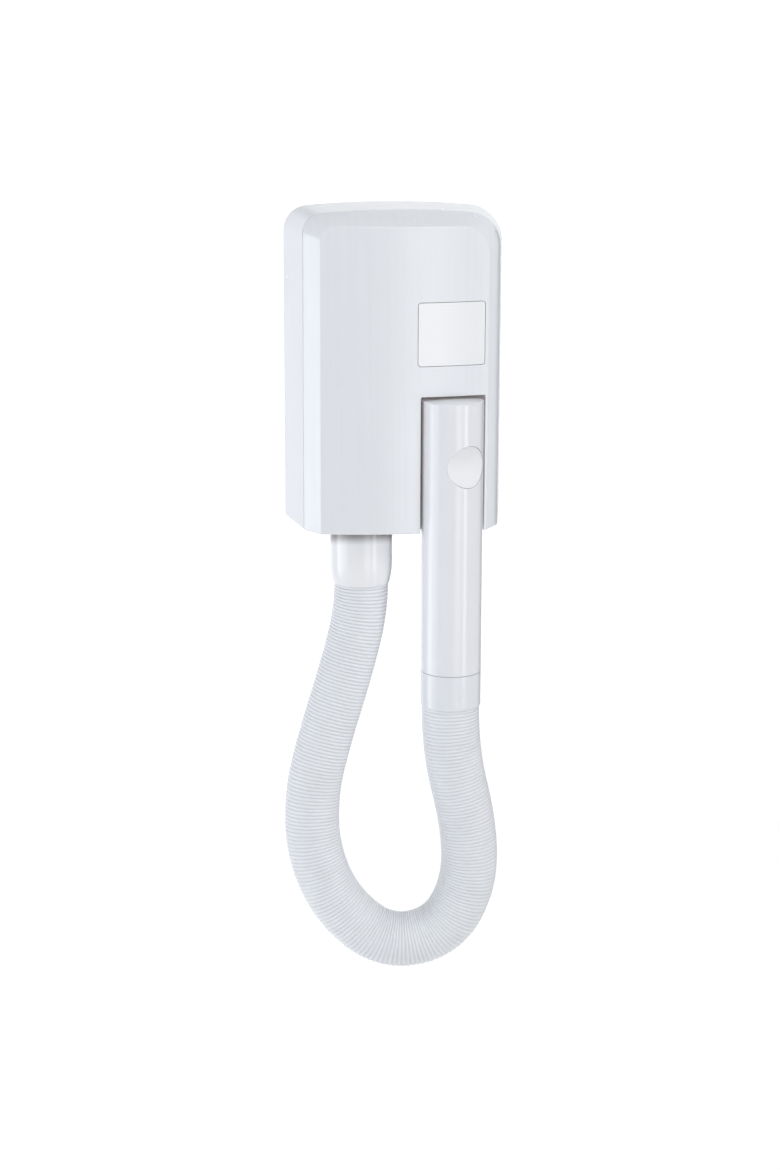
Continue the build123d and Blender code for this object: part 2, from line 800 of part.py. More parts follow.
board_front = board_depth + board_thickness
with BuildPart() as board_screws:
    drive_screws(at_depth(board_front), board_places, screw_core / 2, board_thickness + 5.0, 2.6, 1.6)

with BuildPart() as clamp_screws:
    drive_screws(
        at_depth(floor_wall + clamp_stand + clamp_size[2]), clamp_places,
        screw_core / 2, clamp_size[2] + 6.0, 2.8, 1.8,
    )


def board_piece(x, z, width, height, depth):
    """Boxed component that stands on the circuit board."""
    with BuildPart() as piece:
        with BuildSketch(at_depth(board_front)):
            with Locations((board_x + x, board_z + z)):
                Rectangle(width, height)
        extrude(amount=depth)
        fillet(piece.faces().sort_by(Axis.Y)[0].edges(), 0.6)
    return piece


board_relay = board_piece(-13.0, 17.0, 19.0, 15.5, 14.0)
board_capacitor = board_piece(15.0, 14.0, 18.0, 9.0, 13.0)
board_connector = board_piece(-14.0, -24.0, 22.0, 8.0, 9.0)
board_controller = board_piece(8.0, -12.0, 10.0, 7.0, 2.5)


# ================================================================ blower
channel_outside = channel_width + 2 * scroll_wall
scroll_front = scroll_back + scroll_wall + scroll_width
lid_front = scroll_front + scroll_wall

motor_screw_places = [(-12.5, 0), (12.5, 0)]
motor_boss = 6.0

# Spiral housing with its back wall, open to the front and at the outlet.
with BuildPart() as scroll_base:
    with BuildSketch(at_blower(scroll_back)) as back_wall:
        draw_scroll(scroll_wall)
    extrude(back_wall.sketch, amount=scroll_width + scroll_wall)
    raise_posts(at_blower(scroll_back), ear_places, ear_radius, scroll_width + scroll_wall)
    with BuildSketch(at_blower(scroll_back + scroll_wall)) as air_space:
        draw_scroll(0.0, outlet_end - 1.0)
    extrude(air_space.sketch, amount=scroll_width, mode=Mode.SUBTRACT)
    drill(at_blower(scroll_back - 1), ear_places, screw_core / 2 + face_gap, 60)
    drill(at_blower(scroll_back - 1), [(0, 0)], motor_boss + fit_gap, scroll_wall + 2)
    drill(
        at_blower(scroll_back - 1), motor_screw_places, screw_core / 2 + face_gap,
        scroll_wall + 2,
    )

# Front plate of the scroll with the blower's round inlet.
with BuildPart() as scroll_lid:
    with BuildSketch(at_blower(scroll_front)) as plate:
        draw_scroll(scroll_wall)
        with Locations(*ear_places):
            Circle(ear_radius)
        Circle(inlet_radius, mode=Mode.SUBTRACT)
    extrude(plate.sketch, amount=scroll_wall)
    with BuildSketch(at_blower(scroll_front)) as mouth:
        Circle(inlet_radius + inlet_lip)
        Circle(inlet_radius, mode=Mode.SUBTRACT)
    extrude(mouth.sketch, amount=scroll_wall + inlet_lip)
    fillet(
        scroll_lid.edges().filter_by(GeomType.CIRCLE).group_by(Axis.Y)[0].sort_by(SortBy.RADIUS)[0],
        0.8,
    )
    drill(at_blower(scroll_front - 1), ear_places, screw_core / 2 + face_gap, 5)

with BuildPart() as blower_screws:
    drive_screws(
        at_blower(lid_front), ear_places, screw_core / 2,
        lid_front - scroll_back + 6.0, 2.9, 1.8,
    )

# ---------------------------------------------------------------- motor and impeller
motor_rear = scroll_back + scroll_wall
motor_front = motor_rear + motor_length
boss_reach = 1.6

with BuildPart() as motor_body:
    with BuildSketch(at_blower(motor_rear)) as can:
        Circle(motor_diameter / 2)
    extrude(can.sketch, amount=motor_length)
    fillet(motor_body.edges().filter_by(GeomType.CIRCLE), 1.5)
    with BuildSketch(at_blower(motor_rear - boss_reach)) as boss:
        Circle(motor_boss)
    extrude(boss.sketch, amount=motor_length + 2 * boss_reach)
    # cooling slots round the can
    with BuildSketch(at_blower(motor_rear + 5.0)) as slots:
        with PolarLocations(motor_diameter / 2, 8):
            Rectangle(3.0, 4.0)
    extrude(slots.sketch, amount=motor_length - 10.0, mode=Mode.SUBTRACT)
    drill(at_blower(motor_rear - 5), [(0, 0)], shaft_diameter / 2 + 0.8, motor_length + 10)
    for depth, reach in ((motor_rear - boss_reach, 1), (motor_front + boss_reach, -1)):
        drill(at_blower(depth), [(0, 0)], bearing_diameter / 2, reach * bearing_length)
    drill(at_blower(motor_rear), motor_screw_places, screw_core / 2, 6.0)

with BuildPart() as motor_bearings:
    for depth in (motor_rear - boss_reach, motor_front + boss_reach - bearing_length):
        with BuildSketch(at_blower(depth)) as bush:
            Circle(bearing_diameter / 2)
            Circle(shaft_diameter / 2 + bearing_clearance, mode=Mode.SUBTRACT)
        extrude(bush.sketch, amount=bearing_length)

with BuildPart() as motor_screws:
    drive_screws(
        Plane(origin=(blower_x, -scroll_back, blower_z), x_dir=(-1, 0, 0), z_dir=(0, 1, 0)),
        motor_screw_places, screw_core / 2, scroll_wall + 5.0, 2.6, 1.6,
    )

impeller_rear = motor_rear + impeller_back
blade_rear = impeller_rear + disc_thickness
blade_front = blade_rear + blade_length
hub_front = impeller_rear + hub_depth
boss_rear = motor_front + boss_reach + 0.8
shaft_front = blade_front - 1.0

with BuildPart() as motor_shaft:
    with BuildSketch(at_blower(motor_rear - boss_reach - 1.5)) as rod:
        Circle(shaft_diameter / 2)
    extrude(rod.sketch, amount=shaft_front - motor_rear + boss_reach + 1.5)
    chamfer(motor_shaft.edges().filter_by(GeomType.CIRCLE), 0.3)


def blade_point(radius, sweep_share, shift):
    """Point on a forward-curved blade; shift turns it by the blade's thickness."""
    turn = blade_lead * sweep_share + shift
    return (radius * cos(radians(turn)), radius * sin(radians(turn)))


blade_middle = (blade_inner + impeller_radius) / 2
blade_turn = degrees(blade_thickness / blade_middle)
with BuildSketch() as blade:
    with BuildLine():
        back = ThreePointArc(
            blade_point(blade_inner, 0, 0),
            blade_point(blade_middle, 0.3, 0),
            blade_point(impeller_radius - 0.2, 1, 0),
        )
        face = ThreePointArc(
            blade_point(blade_inner, 0, blade_turn),
            blade_point(blade_middle, 0.3, blade_turn),
            blade_point(impeller_radius - 0.2, 1, blade_turn),
        )
        Line(back @ 0, face @ 0)
        Line(back @ 1, face @ 1)
    make_face()

# Squirrel-cage wheel: a cup over the motor, a back disc, curved blades, a front ring.
with BuildPart() as impeller:
    with BuildSketch(at_blower(impeller_rear)) as disc:
        Circle(impeller_radius)
    extrude(disc.sketch, amount=disc_thickness)
    with BuildSketch(at_blower(impeller_rear)) as cup:
        Circle(hub_inner + hub_wall)
    extrude(cup.sketch, amount=hub_depth)
    with BuildSketch(at_blower(impeller_rear)) as cup_hollow:
        Circle(hub_inner)
    extrude(cup_hollow.sketch, amount=hub_depth - hub_wall, mode=Mode.SUBTRACT)
    with BuildSketch(at_blower(boss_rear)) as hub:
        Circle(hub_boss)
    extrude(hub.sketch, amount=shaft_front - boss_rear)
    with BuildSketch(at_blower(blade_rear)) as blades:
        with PolarLocations(0, blade_count):
            add(blade.sketch)
    extrude(blades.sketch, amount=blade_length)
    with BuildSketch(at_blower(blade_front)) as ring:
        Circle(impeller_radius)
        Circle(blade_inner, mode=Mode.SUBTRACT)
    extrude(ring.sketch, amount=disc_thickness)
    drill(at_blower(impeller_rear), [(0, 0)], shaft_diameter / 2, 60)


# ================================================================ hot-air duct
duct_inner = duct_outer - duct_wall
sleeve_inside = channel_outside / 2 + sleeve_clearance
sleeve_outside = sleeve_inside + duct_wall


def at_duct(height):
    """Level plane at a height, centred on the hot-air path."""
    return Plane(origin=(outlet_x, -outlet_depth, height), x_dir=(1, 0, 0), z_dir=(0, 0, 1))


# Square sleeve over the scroll's outlet with a round tube below it, down to the spout.
with BuildPart() as heater_duct:
    with BuildSketch(at_duct(outlet_end - duct_floor)) as sleeve:
        RectangleRounded(2 * sleeve_outside, 2 * sleeve_outside, 1.5)
    extrude(sleeve.sketch, amount=sleeve_overlap + duct_floor)
    with BuildSketch(at_duct(outlet_end - duct_floor)) as tube:
        Circle(duct_outer)
    extrude(tube.sketch, amount=duct_lower_end - outlet_end + duct_floor)
    with BuildSketch(at_duct(outlet_end)) as sleeve_hollow:
        Rectangle(2 * sleeve_inside, 2 * sleeve_inside)
    extrude(sleeve_hollow.sketch, amount=sleeve_overlap, mode=Mode.SUBTRACT)
    with BuildSketch(at_duct(outlet_end)) as bore:
        Circle(duct_inner)
    extrude(bore.sketch, amount=duct_lower_end - outlet_end, mode=Mode.SUBTRACT)

with BuildPart() as mica_sleeve:
    with BuildSketch(at_duct(mica_top)) as mica_ring:
        Circle(duct_inner - face_gap)
        Circle(duct_inner - face_gap - mica_wall, mode=Mode.SUBTRACT)
    extrude(mica_ring.sketch, amount=-mica_length)

# Two crossed mica boards that carry the heating wire on their edges.
mica_inside = duct_inner - face_gap - mica_wall
coil_top = mica_top - 8.0
board_end = 5.0
with BuildPart() as heater_frame:
    with BuildSketch(at_duct(mica_top)) as cross:
        for turn in (0, 90):
            Rectangle(2 * frame_half_width, frame_board, rotation=turn)
    extrude(cross.sketch, amount=-mica_length)
    for end in (mica_top, mica_top - mica_length + board_end):
        with BuildSketch(at_duct(end)) as cross_end:
            for turn in (0, 90):
                Rectangle(2 * (mica_inside - face_gap), frame_board, rotation=turn)
        extrude(cross_end.sketch, amount=-board_end)

with BuildPart() as heater_coil:
    with BuildLine() as wire_path:
        Helix(
            pitch=coil_pitch, height=coil_pitch * coil_turns, radius=coil_radius,
            center=(outlet_x, -outlet_depth, coil_top - coil_pitch * coil_turns),
        )
    with BuildSketch(Plane(origin=wire_path.line @ 0, z_dir=wire_path.line % 0)) as wire:
        RegularPolygon(coil_wire, 6)
    sweep(wire.sketch, path=wire_path.line, is_frenet=True)

with BuildPart() as thermostat:
    with BuildSketch(
        Plane(
            origin=(outlet_x - 8.0, -outlet_depth - frame_board / 2, mica_top - mica_length + cutout_rise),
            x_dir=(1, 0, 0), z_dir=(0, -1, 0),
        )
    ) as disc:
        Circle(4.5)
    extrude(disc.sketch, amount=3.5)
    fillet(thermostat.edges().filter_by(GeomType.CIRCLE), 0.4)

with BuildPart() as thermal_fuse:
    with BuildSketch(
        Plane(
            origin=(
                outlet_x + 2.0,
                -outlet_depth + frame_board / 2 + 1.3,
                mica_top - mica_length + cutout_rise,
            ),
            x_dir=(0, 1, 0), z_dir=(1, 0, 0),
        )
    ) as body:
        Circle(1.3)
    extrude(body.sketch, amount=10.0)


# ================================================================ spout and hose
socket_inner = duct_outer + sleeve_clearance
socket_outer = socket_inner + socket_wall
flange_foot = housing_bottom + shell_wall + face_gap
flange_top = flange_foot + spout_flange_height
socket_floor = duct_lower_end - 2.0

spout_plane = Plane(origin=(outlet_x, -outlet_depth, 0), x_dir=(1, 0, 0), z_dir=(0, -1, 0))
spout_waist = (
    between(spout_radius, spout_tip_radius, 0.32),
    between(spout_straight_end, spout_end, 0.55),
)

with BuildPart() as hose_spout:
    with BuildSketch(spout_plane) as profile:
        with BuildLine():
            Polyline(
                (socket_inner, socket_floor),
                (socket_inner, socket_floor + socket_height),
                (socket_outer, socket_floor + socket_height),
                (socket_outer, flange_top),
                (spout_flange, flange_top),
                (spout_flange, flange_foot),
                (spout_radius, flange_foot),
                (spout_radius, spout_straight_end),
            )
            ThreePointArc(
                (spout_radius, spout_straight_end),
                spout_waist,
                (spout_tip_radius, spout_end),
            )
            Polyline(
                (spout_tip_radius, spout_end),
                (spout_tip_radius - spout_wall, spout_end),
                (spout_radius - spout_wall, spout_straight_end),
                (spout_radius - spout_wall, socket_floor),
                (socket_inner, socket_floor),
            )
        make_face()
    revolve(profile.sketch, axis=Axis((outlet_x, -outlet_depth, 0), (0, 0, 1)))

collar_top = handset_bottom - collar_gap
collar_end = handset_bottom - collar_length - collar_gap
hose_route = [
    (outlet_x, -outlet_depth, spout_end),
    (outlet_x, -outlet_depth, -178.0),
    (-38.0, -37.0, -221.0),
    (-55.0, -39.0, -275.0),
    (-65.4, -41.5, -316.0),
    (-64.7, -45.0, -363.0),
    (-46.0, -49.0, -405.0),
    (-11.0, -54.0, -433.5),
    (30.5, -58.5, -425.0),
    (50.3, -62.5, -387.0),
    (49.8, -65.0, -340.0),
    (handset_x, -handset_depth, -279.0),
    (handset_x, -handset_depth, collar_end),
]


def route_radii(route):
    """Largest even arc at each corner: 0.45 of the shorter run over tan(half the turn)."""
    radii = []
    for before, here, after in zip(route, route[1:], route[2:]):
        run_in = Vector(*here) - Vector(*before)
        run_out = Vector(*after) - Vector(*here)
        half_turn = radians(run_in.get_angle(run_out)) / 2
        radii.append(0.45 * min(run_in.length, run_out.length) / tan(half_turn))
    return radii


hose_radii = route_radii(hose_route)
with BuildPart() as air_hose:
    with BuildLine() as hose_path:
        FilletPolyline(*hose_route, radius=hose_radii)
    with BuildSketch(Plane(origin=hose_route[0], x_dir=(1, 0, 0), z_dir=hose_path.line % 0)) as hose_ring:
        Circle(hose_radius)
        Circle(hose_bore, mode=Mode.SUBTRACT)
    sweep(hose_ring.sketch, path=hose_path.line)

hose_length = sum(edge.length for edge in hose_path.edges())
ring_area = pi * (hose_radius**2 - hose_bore**2)
print("hose radii", [round(radius, 1) for radius in hose_radii])
print("hose length", round(hose_length, 1))
print("hose volume share", round(air_hose.part.volume / (ring_area * hose_length), 4))


# ================================================================ handset
def at_handset(height):
    """Level plane at a height, centred on the handset's axis."""
    return Plane(origin=(handset_x, -handset_depth, height), x_dir=(1, 0, 0), z_dir=(0, 0, 1))


def facing_out(height, turn, distance=0.0):
    """Plane that faces away from the handset's axis, turned from the front towards +X."""
    out = Vector(sin(radians(turn)), -cos(radians(turn)), 0)
    across = Vector(cos(radians(turn)), sin(radians(turn)), 0)
    origin = Vector(handset_x, -handset_depth, height) + out * distance
    return Plane(origin=origin, x_dir=across, z_dir=out)


handset_profile = Plane(
    origin=(handset_x, -handset_depth, 0), x_dir=(1, 0, 0), z_dir=(0, -1, 0)
)
handset_axis = Axis((handset_x, -handset_depth, 0), (0, 0, 1))
handset_inner = handset_radius - handset_wall
spigot_inner = handset_inner - spigot_wall
spigot_outer = handset_inner - 0.4
spigot_end = handset_bottom - spigot_length
groove_floor = spigot_outer - 1.0
groove_top = spigot_end + 2.0 + ring_groove
shell_top = handset_top - cap_thickness
outlet_turn = handset_turn + 180.0
outlet_half = degrees(asin(outlet_width / handset_diameter))


def draw_sector(turn, half, outer, inner):
    """Part of a ring about the handset's axis, half degrees to each side of a direction."""
    with BuildLine() as wedge:
        Polyline(
            (0, 0),
            *[
                (2 * outer * sin(radians(angle)), -2 * outer * cos(radians(angle)))
                for angle in (turn - half, turn, turn + half)
            ],
            close=True,
        )
    make_face(wedge.edges())
    Circle(outer, mode=Mode.INTERSECT)
    Circle(inner, mode=Mode.SUBTRACT)



# Tube with a stepped spigot at its foot that the hose's collar swivels on.
with BuildPart() as handset_shell:
    with BuildSketch(handset_profile) as tube_profile:
        with BuildLine():
            Polyline(
                (handset_radius, shell_top),
                (handset_radius, handset_bottom),
                (spigot_outer, handset_bottom),
                (spigot_outer, groove_top),
                (groove_floor, groove_top),
                (groove_floor, groove_top - ring_groove),
                (spigot_outer, groove_top - ring_groove),
                (spigot_outer, spigot_end),
                (spigot_inner, spigot_end),
                (spigot_inner, handset_bottom + handset_wall),
                (handset_inner, handset_bottom + handset_wall + 2.0),
                (handset_inner, shell_top),
                close=True,
            )
        make_face()
    revolve(tube_profile.sketch, axis=handset_axis)
    drill(facing_out(button_z, handset_turn), [(0, 0)], button_diameter / 2, 2 * handset_radius)
    with BuildSketch(at_handset(outlet_top)) as window:
        draw_sector(outlet_turn, outlet_half, 2 * handset_radius, spigot_inner)
    extrude(window.sketch, amount=-outlet_height, mode=Mode.SUBTRACT)

# Shallow domed end cap, pressed into the top of the tube.
crown_edge = handset_radius - edge_softening
crown_sphere = (crown_edge**2 + cap_crown**2) / (2 * cap_crown)
crown_middle = sqrt(crown_sphere**2 - (crown_edge / 2) ** 2)
rim_share = edge_softening * sin(radians(45))
with BuildPart() as handset_cap:
    with BuildSketch(handset_profile) as cap_profile:
        with BuildLine():
            Polyline(
                (0, shell_top - cap_spigot),
                (handset_inner - face_gap, shell_top - cap_spigot),
                (handset_inner - face_gap, shell_top),
                (handset_radius, shell_top),
                (handset_radius, handset_top - edge_softening),
            )
            ThreePointArc(
                (handset_radius, handset_top - edge_softening),
                (crown_edge + rim_share, handset_top - edge_softening + rim_share),
                (crown_edge, handset_top),
            )
            ThreePointArc(
                (crown_edge, handset_top),
                (crown_edge / 2, handset_top + cap_crown - crown_sphere + crown_middle),
                (0, handset_top + cap_crown),
            )
            Line((0, handset_top + cap_crown), (0, shell_top - cap_spigot))
        make_face()
    revolve(cap_profile.sketch, axis=handset_axis)
    with BuildSketch(at_handset(shell_top - cap_spigot)) as cap_hollow:
        Circle(handset_inner - face_gap - handset_wall)
    extrude(cap_hollow.sketch, amount=cap_spigot, mode=Mode.SUBTRACT)

# Louvred air outlet on the side away from the button, flush with the tube.
frame_lap = 1.6
gap_turn = degrees(face_gap / handset_radius)
lap_turn = degrees(frame_lap / handset_radius)
slat_pitch = (outlet_height - 2 * frame_lap) / slat_count
with BuildPart() as outlet_grille:
    with BuildSketch(at_handset(outlet_top - face_gap)) as outlet_panel:
        draw_sector(outlet_turn, outlet_half - gap_turn, handset_radius, handset_inner)
    extrude(outlet_panel.sketch, amount=2 * face_gap - outlet_height)
    for slot in range(slat_count):
        slot_top = outlet_top - frame_lap - slat_thickness / 2 - slot * slat_pitch
        with BuildSketch(at_handset(slot_top)) as louvre:
            draw_sector(outlet_turn, outlet_half - 2 * lap_turn, 2 * handset_radius, spigot_inner)
        extrude(louvre.sketch, amount=slat_thickness - slat_pitch, mode=Mode.SUBTRACT)

# Frame inside the tube that holds the louvres.
rim_outer = handset_inner - face_gap
with BuildPart() as outlet_frame:
    with BuildSketch(at_handset(outlet_top + frame_lap)) as rim:
        draw_sector(outlet_turn, outlet_half + lap_turn, rim_outer, rim_outer - 1.0)
    extrude(rim.sketch, amount=-outlet_height - 2 * frame_lap)
    with BuildSketch(at_handset(outlet_top - frame_lap)) as rim_opening:
        draw_sector(outlet_turn, outlet_half - lap_turn, 2 * handset_radius, spigot_inner / 2)
    extrude(rim_opening.sketch, amount=2 * frame_lap - outlet_height, mode=Mode.SUBTRACT)

# ---------------------------------------------------------------- thumb button
scoop_centre = button_scoop + sqrt(handset_radius**2 - (button_diameter / 2) ** 2)
button_seat = scoop_centre - button_scoop
button_body_radius = button_diameter / 2 - button_clearance
guide_inner = button_body_radius + button_flange + button_clearance
guide_floor = 2.0
guide_floor_wall = 1.5
switch_body = (12.8, 5.8, 3.0)
nib_height = 0.6
flange_top_distance = guide_floor + guide_floor_wall + 5.6
switch_top = guide_floor + guide_floor_wall + switch_body[2] + nib_height
stem_end = switch_top + button_travel + touch_gap / 2

# The button's face is hollowed about a level axis, so that its rim follows the tube.
with BuildPart() as thumb_button:
    with BuildSketch(facing_out(button_z, handset_turn, flange_top_distance - 1.2)) as flange:
        Circle(button_body_radius + button_flange)
    extrude(flange.sketch, amount=1.2)
    with BuildSketch(facing_out(button_z, handset_turn, flange_top_distance - 1.2)) as plug:
        Circle(button_body_radius)
    extrude(plug.sketch, amount=handset_radius)
    with BuildSketch(facing_out(button_z, handset_turn, flange_top_distance - 1.2)) as plug_hollow:
        Circle(button_body_radius - button_wall)
    extrude(
        plug_hollow.sketch,
        amount=button_seat - button_wall - flange_top_distance + 1.2, mode=Mode.SUBTRACT,
    )
    with BuildSketch(facing_out(button_z, handset_turn, stem_end)) as stem:
        Circle(stem_diameter / 2)
    extrude(stem.sketch, amount=button_seat - button_wall - stem_end + 0.5)
    scoop_plane = Plane(
        origin=facing_out(button_z, handset_turn, scoop_centre).origin,
        x_dir=facing_out(button_z, handset_turn).z_dir,
        z_dir=facing_out(button_z, handset_turn).x_dir,
    )
    with BuildSketch(scoop_plane) as scoop:
        Circle(button_scoop)
    extrude(scoop.sketch, amount=handset_diameter, both=True, mode=Mode.SUBTRACT)
    with BuildSketch(at_handset(button_z - handset_radius)) as tube_limit:
        Circle(handset_radius)
    extrude(tube_limit.sketch, amount=2 * handset_radius, mode=Mode.INTERSECT)

# Guide inside the tube: a floor for the switch, a ring and a lip that holds the button.
with BuildPart() as button_guide:
    with BuildSketch(facing_out(button_z, handset_turn, guide_floor)) as guide:
        Circle(guide_inner + handset_wall)
    extrude(guide.sketch, amount=handset_radius)
    with BuildSketch(facing_out(button_z, handset_turn, guide_floor + guide_floor_wall)) as chamber:
        Circle(guide_inner)
    chamber_length = flange_top_distance - guide_floor - guide_floor_wall
    extrude(chamber.sketch, amount=chamber_length + 0.15, mode=Mode.SUBTRACT)
    with BuildSketch(facing_out(button_z, handset_turn, guide_floor + guide_floor_wall)) as throat:
        Circle(button_body_radius + button_clearance)
    extrude(throat.sketch, amount=handset_radius, mode=Mode.SUBTRACT)
    with BuildSketch(facing_out(button_z, handset_turn, flange_top_distance + 2.0)) as guide_top:
        Circle(handset_radius)
    extrude(guide_top.sketch, amount=handset_radius, mode=Mode.SUBTRACT)
    with BuildSketch(at_handset(button_z - handset_radius)) as guide_limit:
        Circle(handset_inner - face_gap)
    extrude(guide_limit.sketch, amount=2 * handset_radius, mode=Mode.INTERSECT)

with BuildPart() as handset_switch:
    with BuildSketch(
        facing_out(button_z, handset_turn, guide_floor + guide_floor_wall + face_gap)
    ) as case:
        Rectangle(switch_body[0], switch_body[1])
    extrude(case.sketch, amount=switch_body[2] - face_gap)
    with BuildSketch(
        facing_out(button_z, handset_turn, guide_floor + guide_floor_wall + switch_body[2])
    ) as nib:
        Circle(1.2)
    extrude(nib.sketch, amount=nib_height)

# Curved steel plate inside the tube, for the cradle's magnet.
with BuildPart() as keeper_plate:
    with BuildSketch(at_handset(magnet_z - keeper_height / 2)) as keeper:
        draw_sector(180.0, keeper_sweep / 2, rim_outer, rim_outer - keeper_wall)
    extrude(keeper.sketch, amount=keeper_height)

# ---------------------------------------------------------------- swivel collar
collar_bore = spigot_outer + swivel_clearance
collar_lip = hose_bore
with BuildPart() as swivel_collar:
    with BuildSketch(handset_profile) as collar_profile:
        with BuildLine():
            Polyline(
                (collar_bore, collar_top),
                (handset_radius, collar_top),
                (handset_radius, collar_end + edge_softening),
                (handset_radius - edge_softening, collar_end),
                (collar_lip, collar_end),
                (collar_lip, spigot_end - 2.0),
                (collar_bore, spigot_end - 2.0),
                close=True,
            )
        make_face()
    revolve(collar_profile.sketch, axis=handset_axis)

# Split ring in the spigot's groove that keeps the collar on.
with BuildPart() as retaining_ring:
    with BuildSketch(at_handset(groove_top - ring_groove + 0.2)) as snap_ring:
        Circle(spigot_outer - 0.05)
        Circle(groove_floor + 0.05, mode=Mode.SUBTRACT)
        with Locations((0, spigot_outer)):
            Rectangle(3.0, 4.0, mode=Mode.SUBTRACT)
    extrude(snap_ring.sketch, amount=ring_width)

with BuildPart() as cover_screws:
    drive_screws(
        Plane(origin=(0, 0, housing_bottom), x_dir=(1, 0, 0), z_dir=(0, 0, -1)),
        [(x, cover_screw_depth) for x in (cover_screw_left, cover_screw_right)],
        screw_core / 2, cover_tab_height - face_gap, 2.8, 1.6,
    )


# ================================================================ files
pieces = {
    "rear_housing": rear_housing,
    "front_cover": front_cover,
    "cover_screws": cover_screws,
    "blanking_plate": blanking_plate,
    "handset_cradle": handset_cradle,
    "cradle_screws": cradle_screws,
    "parking_switch": parking_switch,
    "parking_plunger": parking_plunger,
    "cradle_magnet": cradle_magnet,
    "inlet_grille": inlet_grille,
    "inlet_filter": inlet_filter,
    "cable_grommet": cable_grommet,
    "cable_clamp": cable_clamp,
    "clamp_screws": clamp_screws,
    "terminal_block": terminal_block,
    "terminal_screws": terminal_screws,
    "control_board": control_board,
    "board_screws": board_screws,
    "board_relay": board_relay,
    "board_capacitor": board_capacitor,
    "board_connector": board_connector,
    "board_controller": board_controller,
    "scroll_base": scroll_base,
    "scroll_lid": scroll_lid,
    "blower_screws": blower_screws,
    "motor_body": motor_body,
    "motor_bearings": motor_bearings,
    "motor_screws": motor_screws,
    "motor_shaft": motor_shaft,
    "impeller": impeller,
    "heater_duct": heater_duct,
    "mica_sleeve": mica_sleeve,
    "heater_frame": heater_frame,
    "heater_coil": heater_coil,
    "thermostat": thermostat,
    "thermal_fuse": thermal_fuse,
    "hose_spout": hose_spout,
    "air_hose": air_hose,
    "swivel_collar": swivel_collar,
    "retaining_ring": retaining_ring,
    "handset_shell": handset_shell,
    "handset_cap": handset_cap,
    "outlet_grille": outlet_grille,
    "outlet_frame": outlet_frame,
    "thumb_button": thumb_button,
    "button_guide": button_guide,
    "handset_switch": handset_switch,
    "keeper_plate": keeper_plate,
}
for name, piece in pieces.items():
    piece.part.label = name
    export_step(piece.part, f"parts/{name}.step")
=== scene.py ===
import math

import bmesh
import bpy
from mathutils import Matrix, Vector


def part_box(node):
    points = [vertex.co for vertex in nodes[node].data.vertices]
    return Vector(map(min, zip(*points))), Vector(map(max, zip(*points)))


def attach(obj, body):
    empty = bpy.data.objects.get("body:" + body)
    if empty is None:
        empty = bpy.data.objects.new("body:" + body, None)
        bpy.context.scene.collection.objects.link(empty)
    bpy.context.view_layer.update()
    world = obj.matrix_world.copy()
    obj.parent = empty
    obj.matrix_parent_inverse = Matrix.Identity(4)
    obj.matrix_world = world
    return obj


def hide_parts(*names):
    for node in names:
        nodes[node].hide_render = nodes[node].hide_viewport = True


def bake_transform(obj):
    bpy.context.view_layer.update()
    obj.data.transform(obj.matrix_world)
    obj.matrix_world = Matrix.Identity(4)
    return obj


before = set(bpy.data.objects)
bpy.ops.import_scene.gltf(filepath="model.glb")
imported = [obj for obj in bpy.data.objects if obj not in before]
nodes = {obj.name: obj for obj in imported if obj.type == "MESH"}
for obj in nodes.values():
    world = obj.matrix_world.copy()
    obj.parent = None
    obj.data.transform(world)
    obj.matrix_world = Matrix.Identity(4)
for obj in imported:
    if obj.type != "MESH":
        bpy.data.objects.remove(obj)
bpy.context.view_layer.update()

# ---------------------------------------------------------------- studio
# A plain white floor and backdrop, soft boxes at the front right, at the left and overhead, two
# black cards that only the gloss sees, and an even pale surround.


def paint(hex_colour):
    """An sRGB hex colour as the linear values that a socket takes."""
    parts = [int(hex_colour[i:i + 2], 16) / 255 for i in (1, 3, 5)]
    return [p / 12.92 if p <= 0.04045 else ((p + 0.055) / 1.055) ** 2.4 for p in parts] + [1.0]


def add(tree, kind, settings=None, inputs=(), **named):
    """Adds a node. settings are its properties; inputs fill its sockets in order, and named
    ones by name, each with a value, a socket or the node whose first output it takes."""
    node = tree.nodes.new(kind)
    for key, value in (settings or {}).items():
        setattr(node, key, value)
    usable = [socket for socket in node.inputs if socket.enabled]
    pairs = list(zip(usable, inputs))
    for key, value in named.items():
        pairs.append((next(s for s in usable if s.name == key.replace("_", " ")), value))
    for socket, value in pairs:
        if isinstance(value, bpy.types.Node):
            value = next(s for s in value.outputs if s.enabled)
        if isinstance(value, bpy.types.NodeSocket):
            tree.links.new(value, socket)
        elif value is not None:
            socket.default_value = value
    return node


def new_material(name):
    """A material with an empty node tree, and that tree."""
    material = bpy.data.materials.new(name)
    material.use_nodes = True
    material.node_tree.nodes.clear()
    return material, material.node_tree


def seen_directly(tree):
    """1 for a camera ray and what gloss and clear material show, 0 for the light on a piece."""
    rays = add(tree, "ShaderNodeLightPath").outputs
    seen = add(tree, "ShaderNodeMath", {"operation": "MAXIMUM"},
               (rays["Is Camera Ray"], rays["Is Glossy Ray"]))
    return add(tree, "ShaderNodeMath", {"operation": "MAXIMUM"},
               (seen, rays["Is Transmission Ray"]))


# matt paper; the camera and the gloss see it a little lighter, so that it stays plain white
studio, tree = new_material("studio_paper_matt")
seen = seen_directly(tree)
matt = add(tree, "ShaderNodeBsdfDiffuse", Color=paint("#F7F7F7"))
lit = add(tree, "ShaderNodeEmission", Color=(1, 1, 1, 1), Strength=0.45)
lighter = add(tree, "ShaderNodeAddShader", None, (matt, lit))
mixed = add(tree, "ShaderNodeMixShader", None, (seen, matt, lighter))
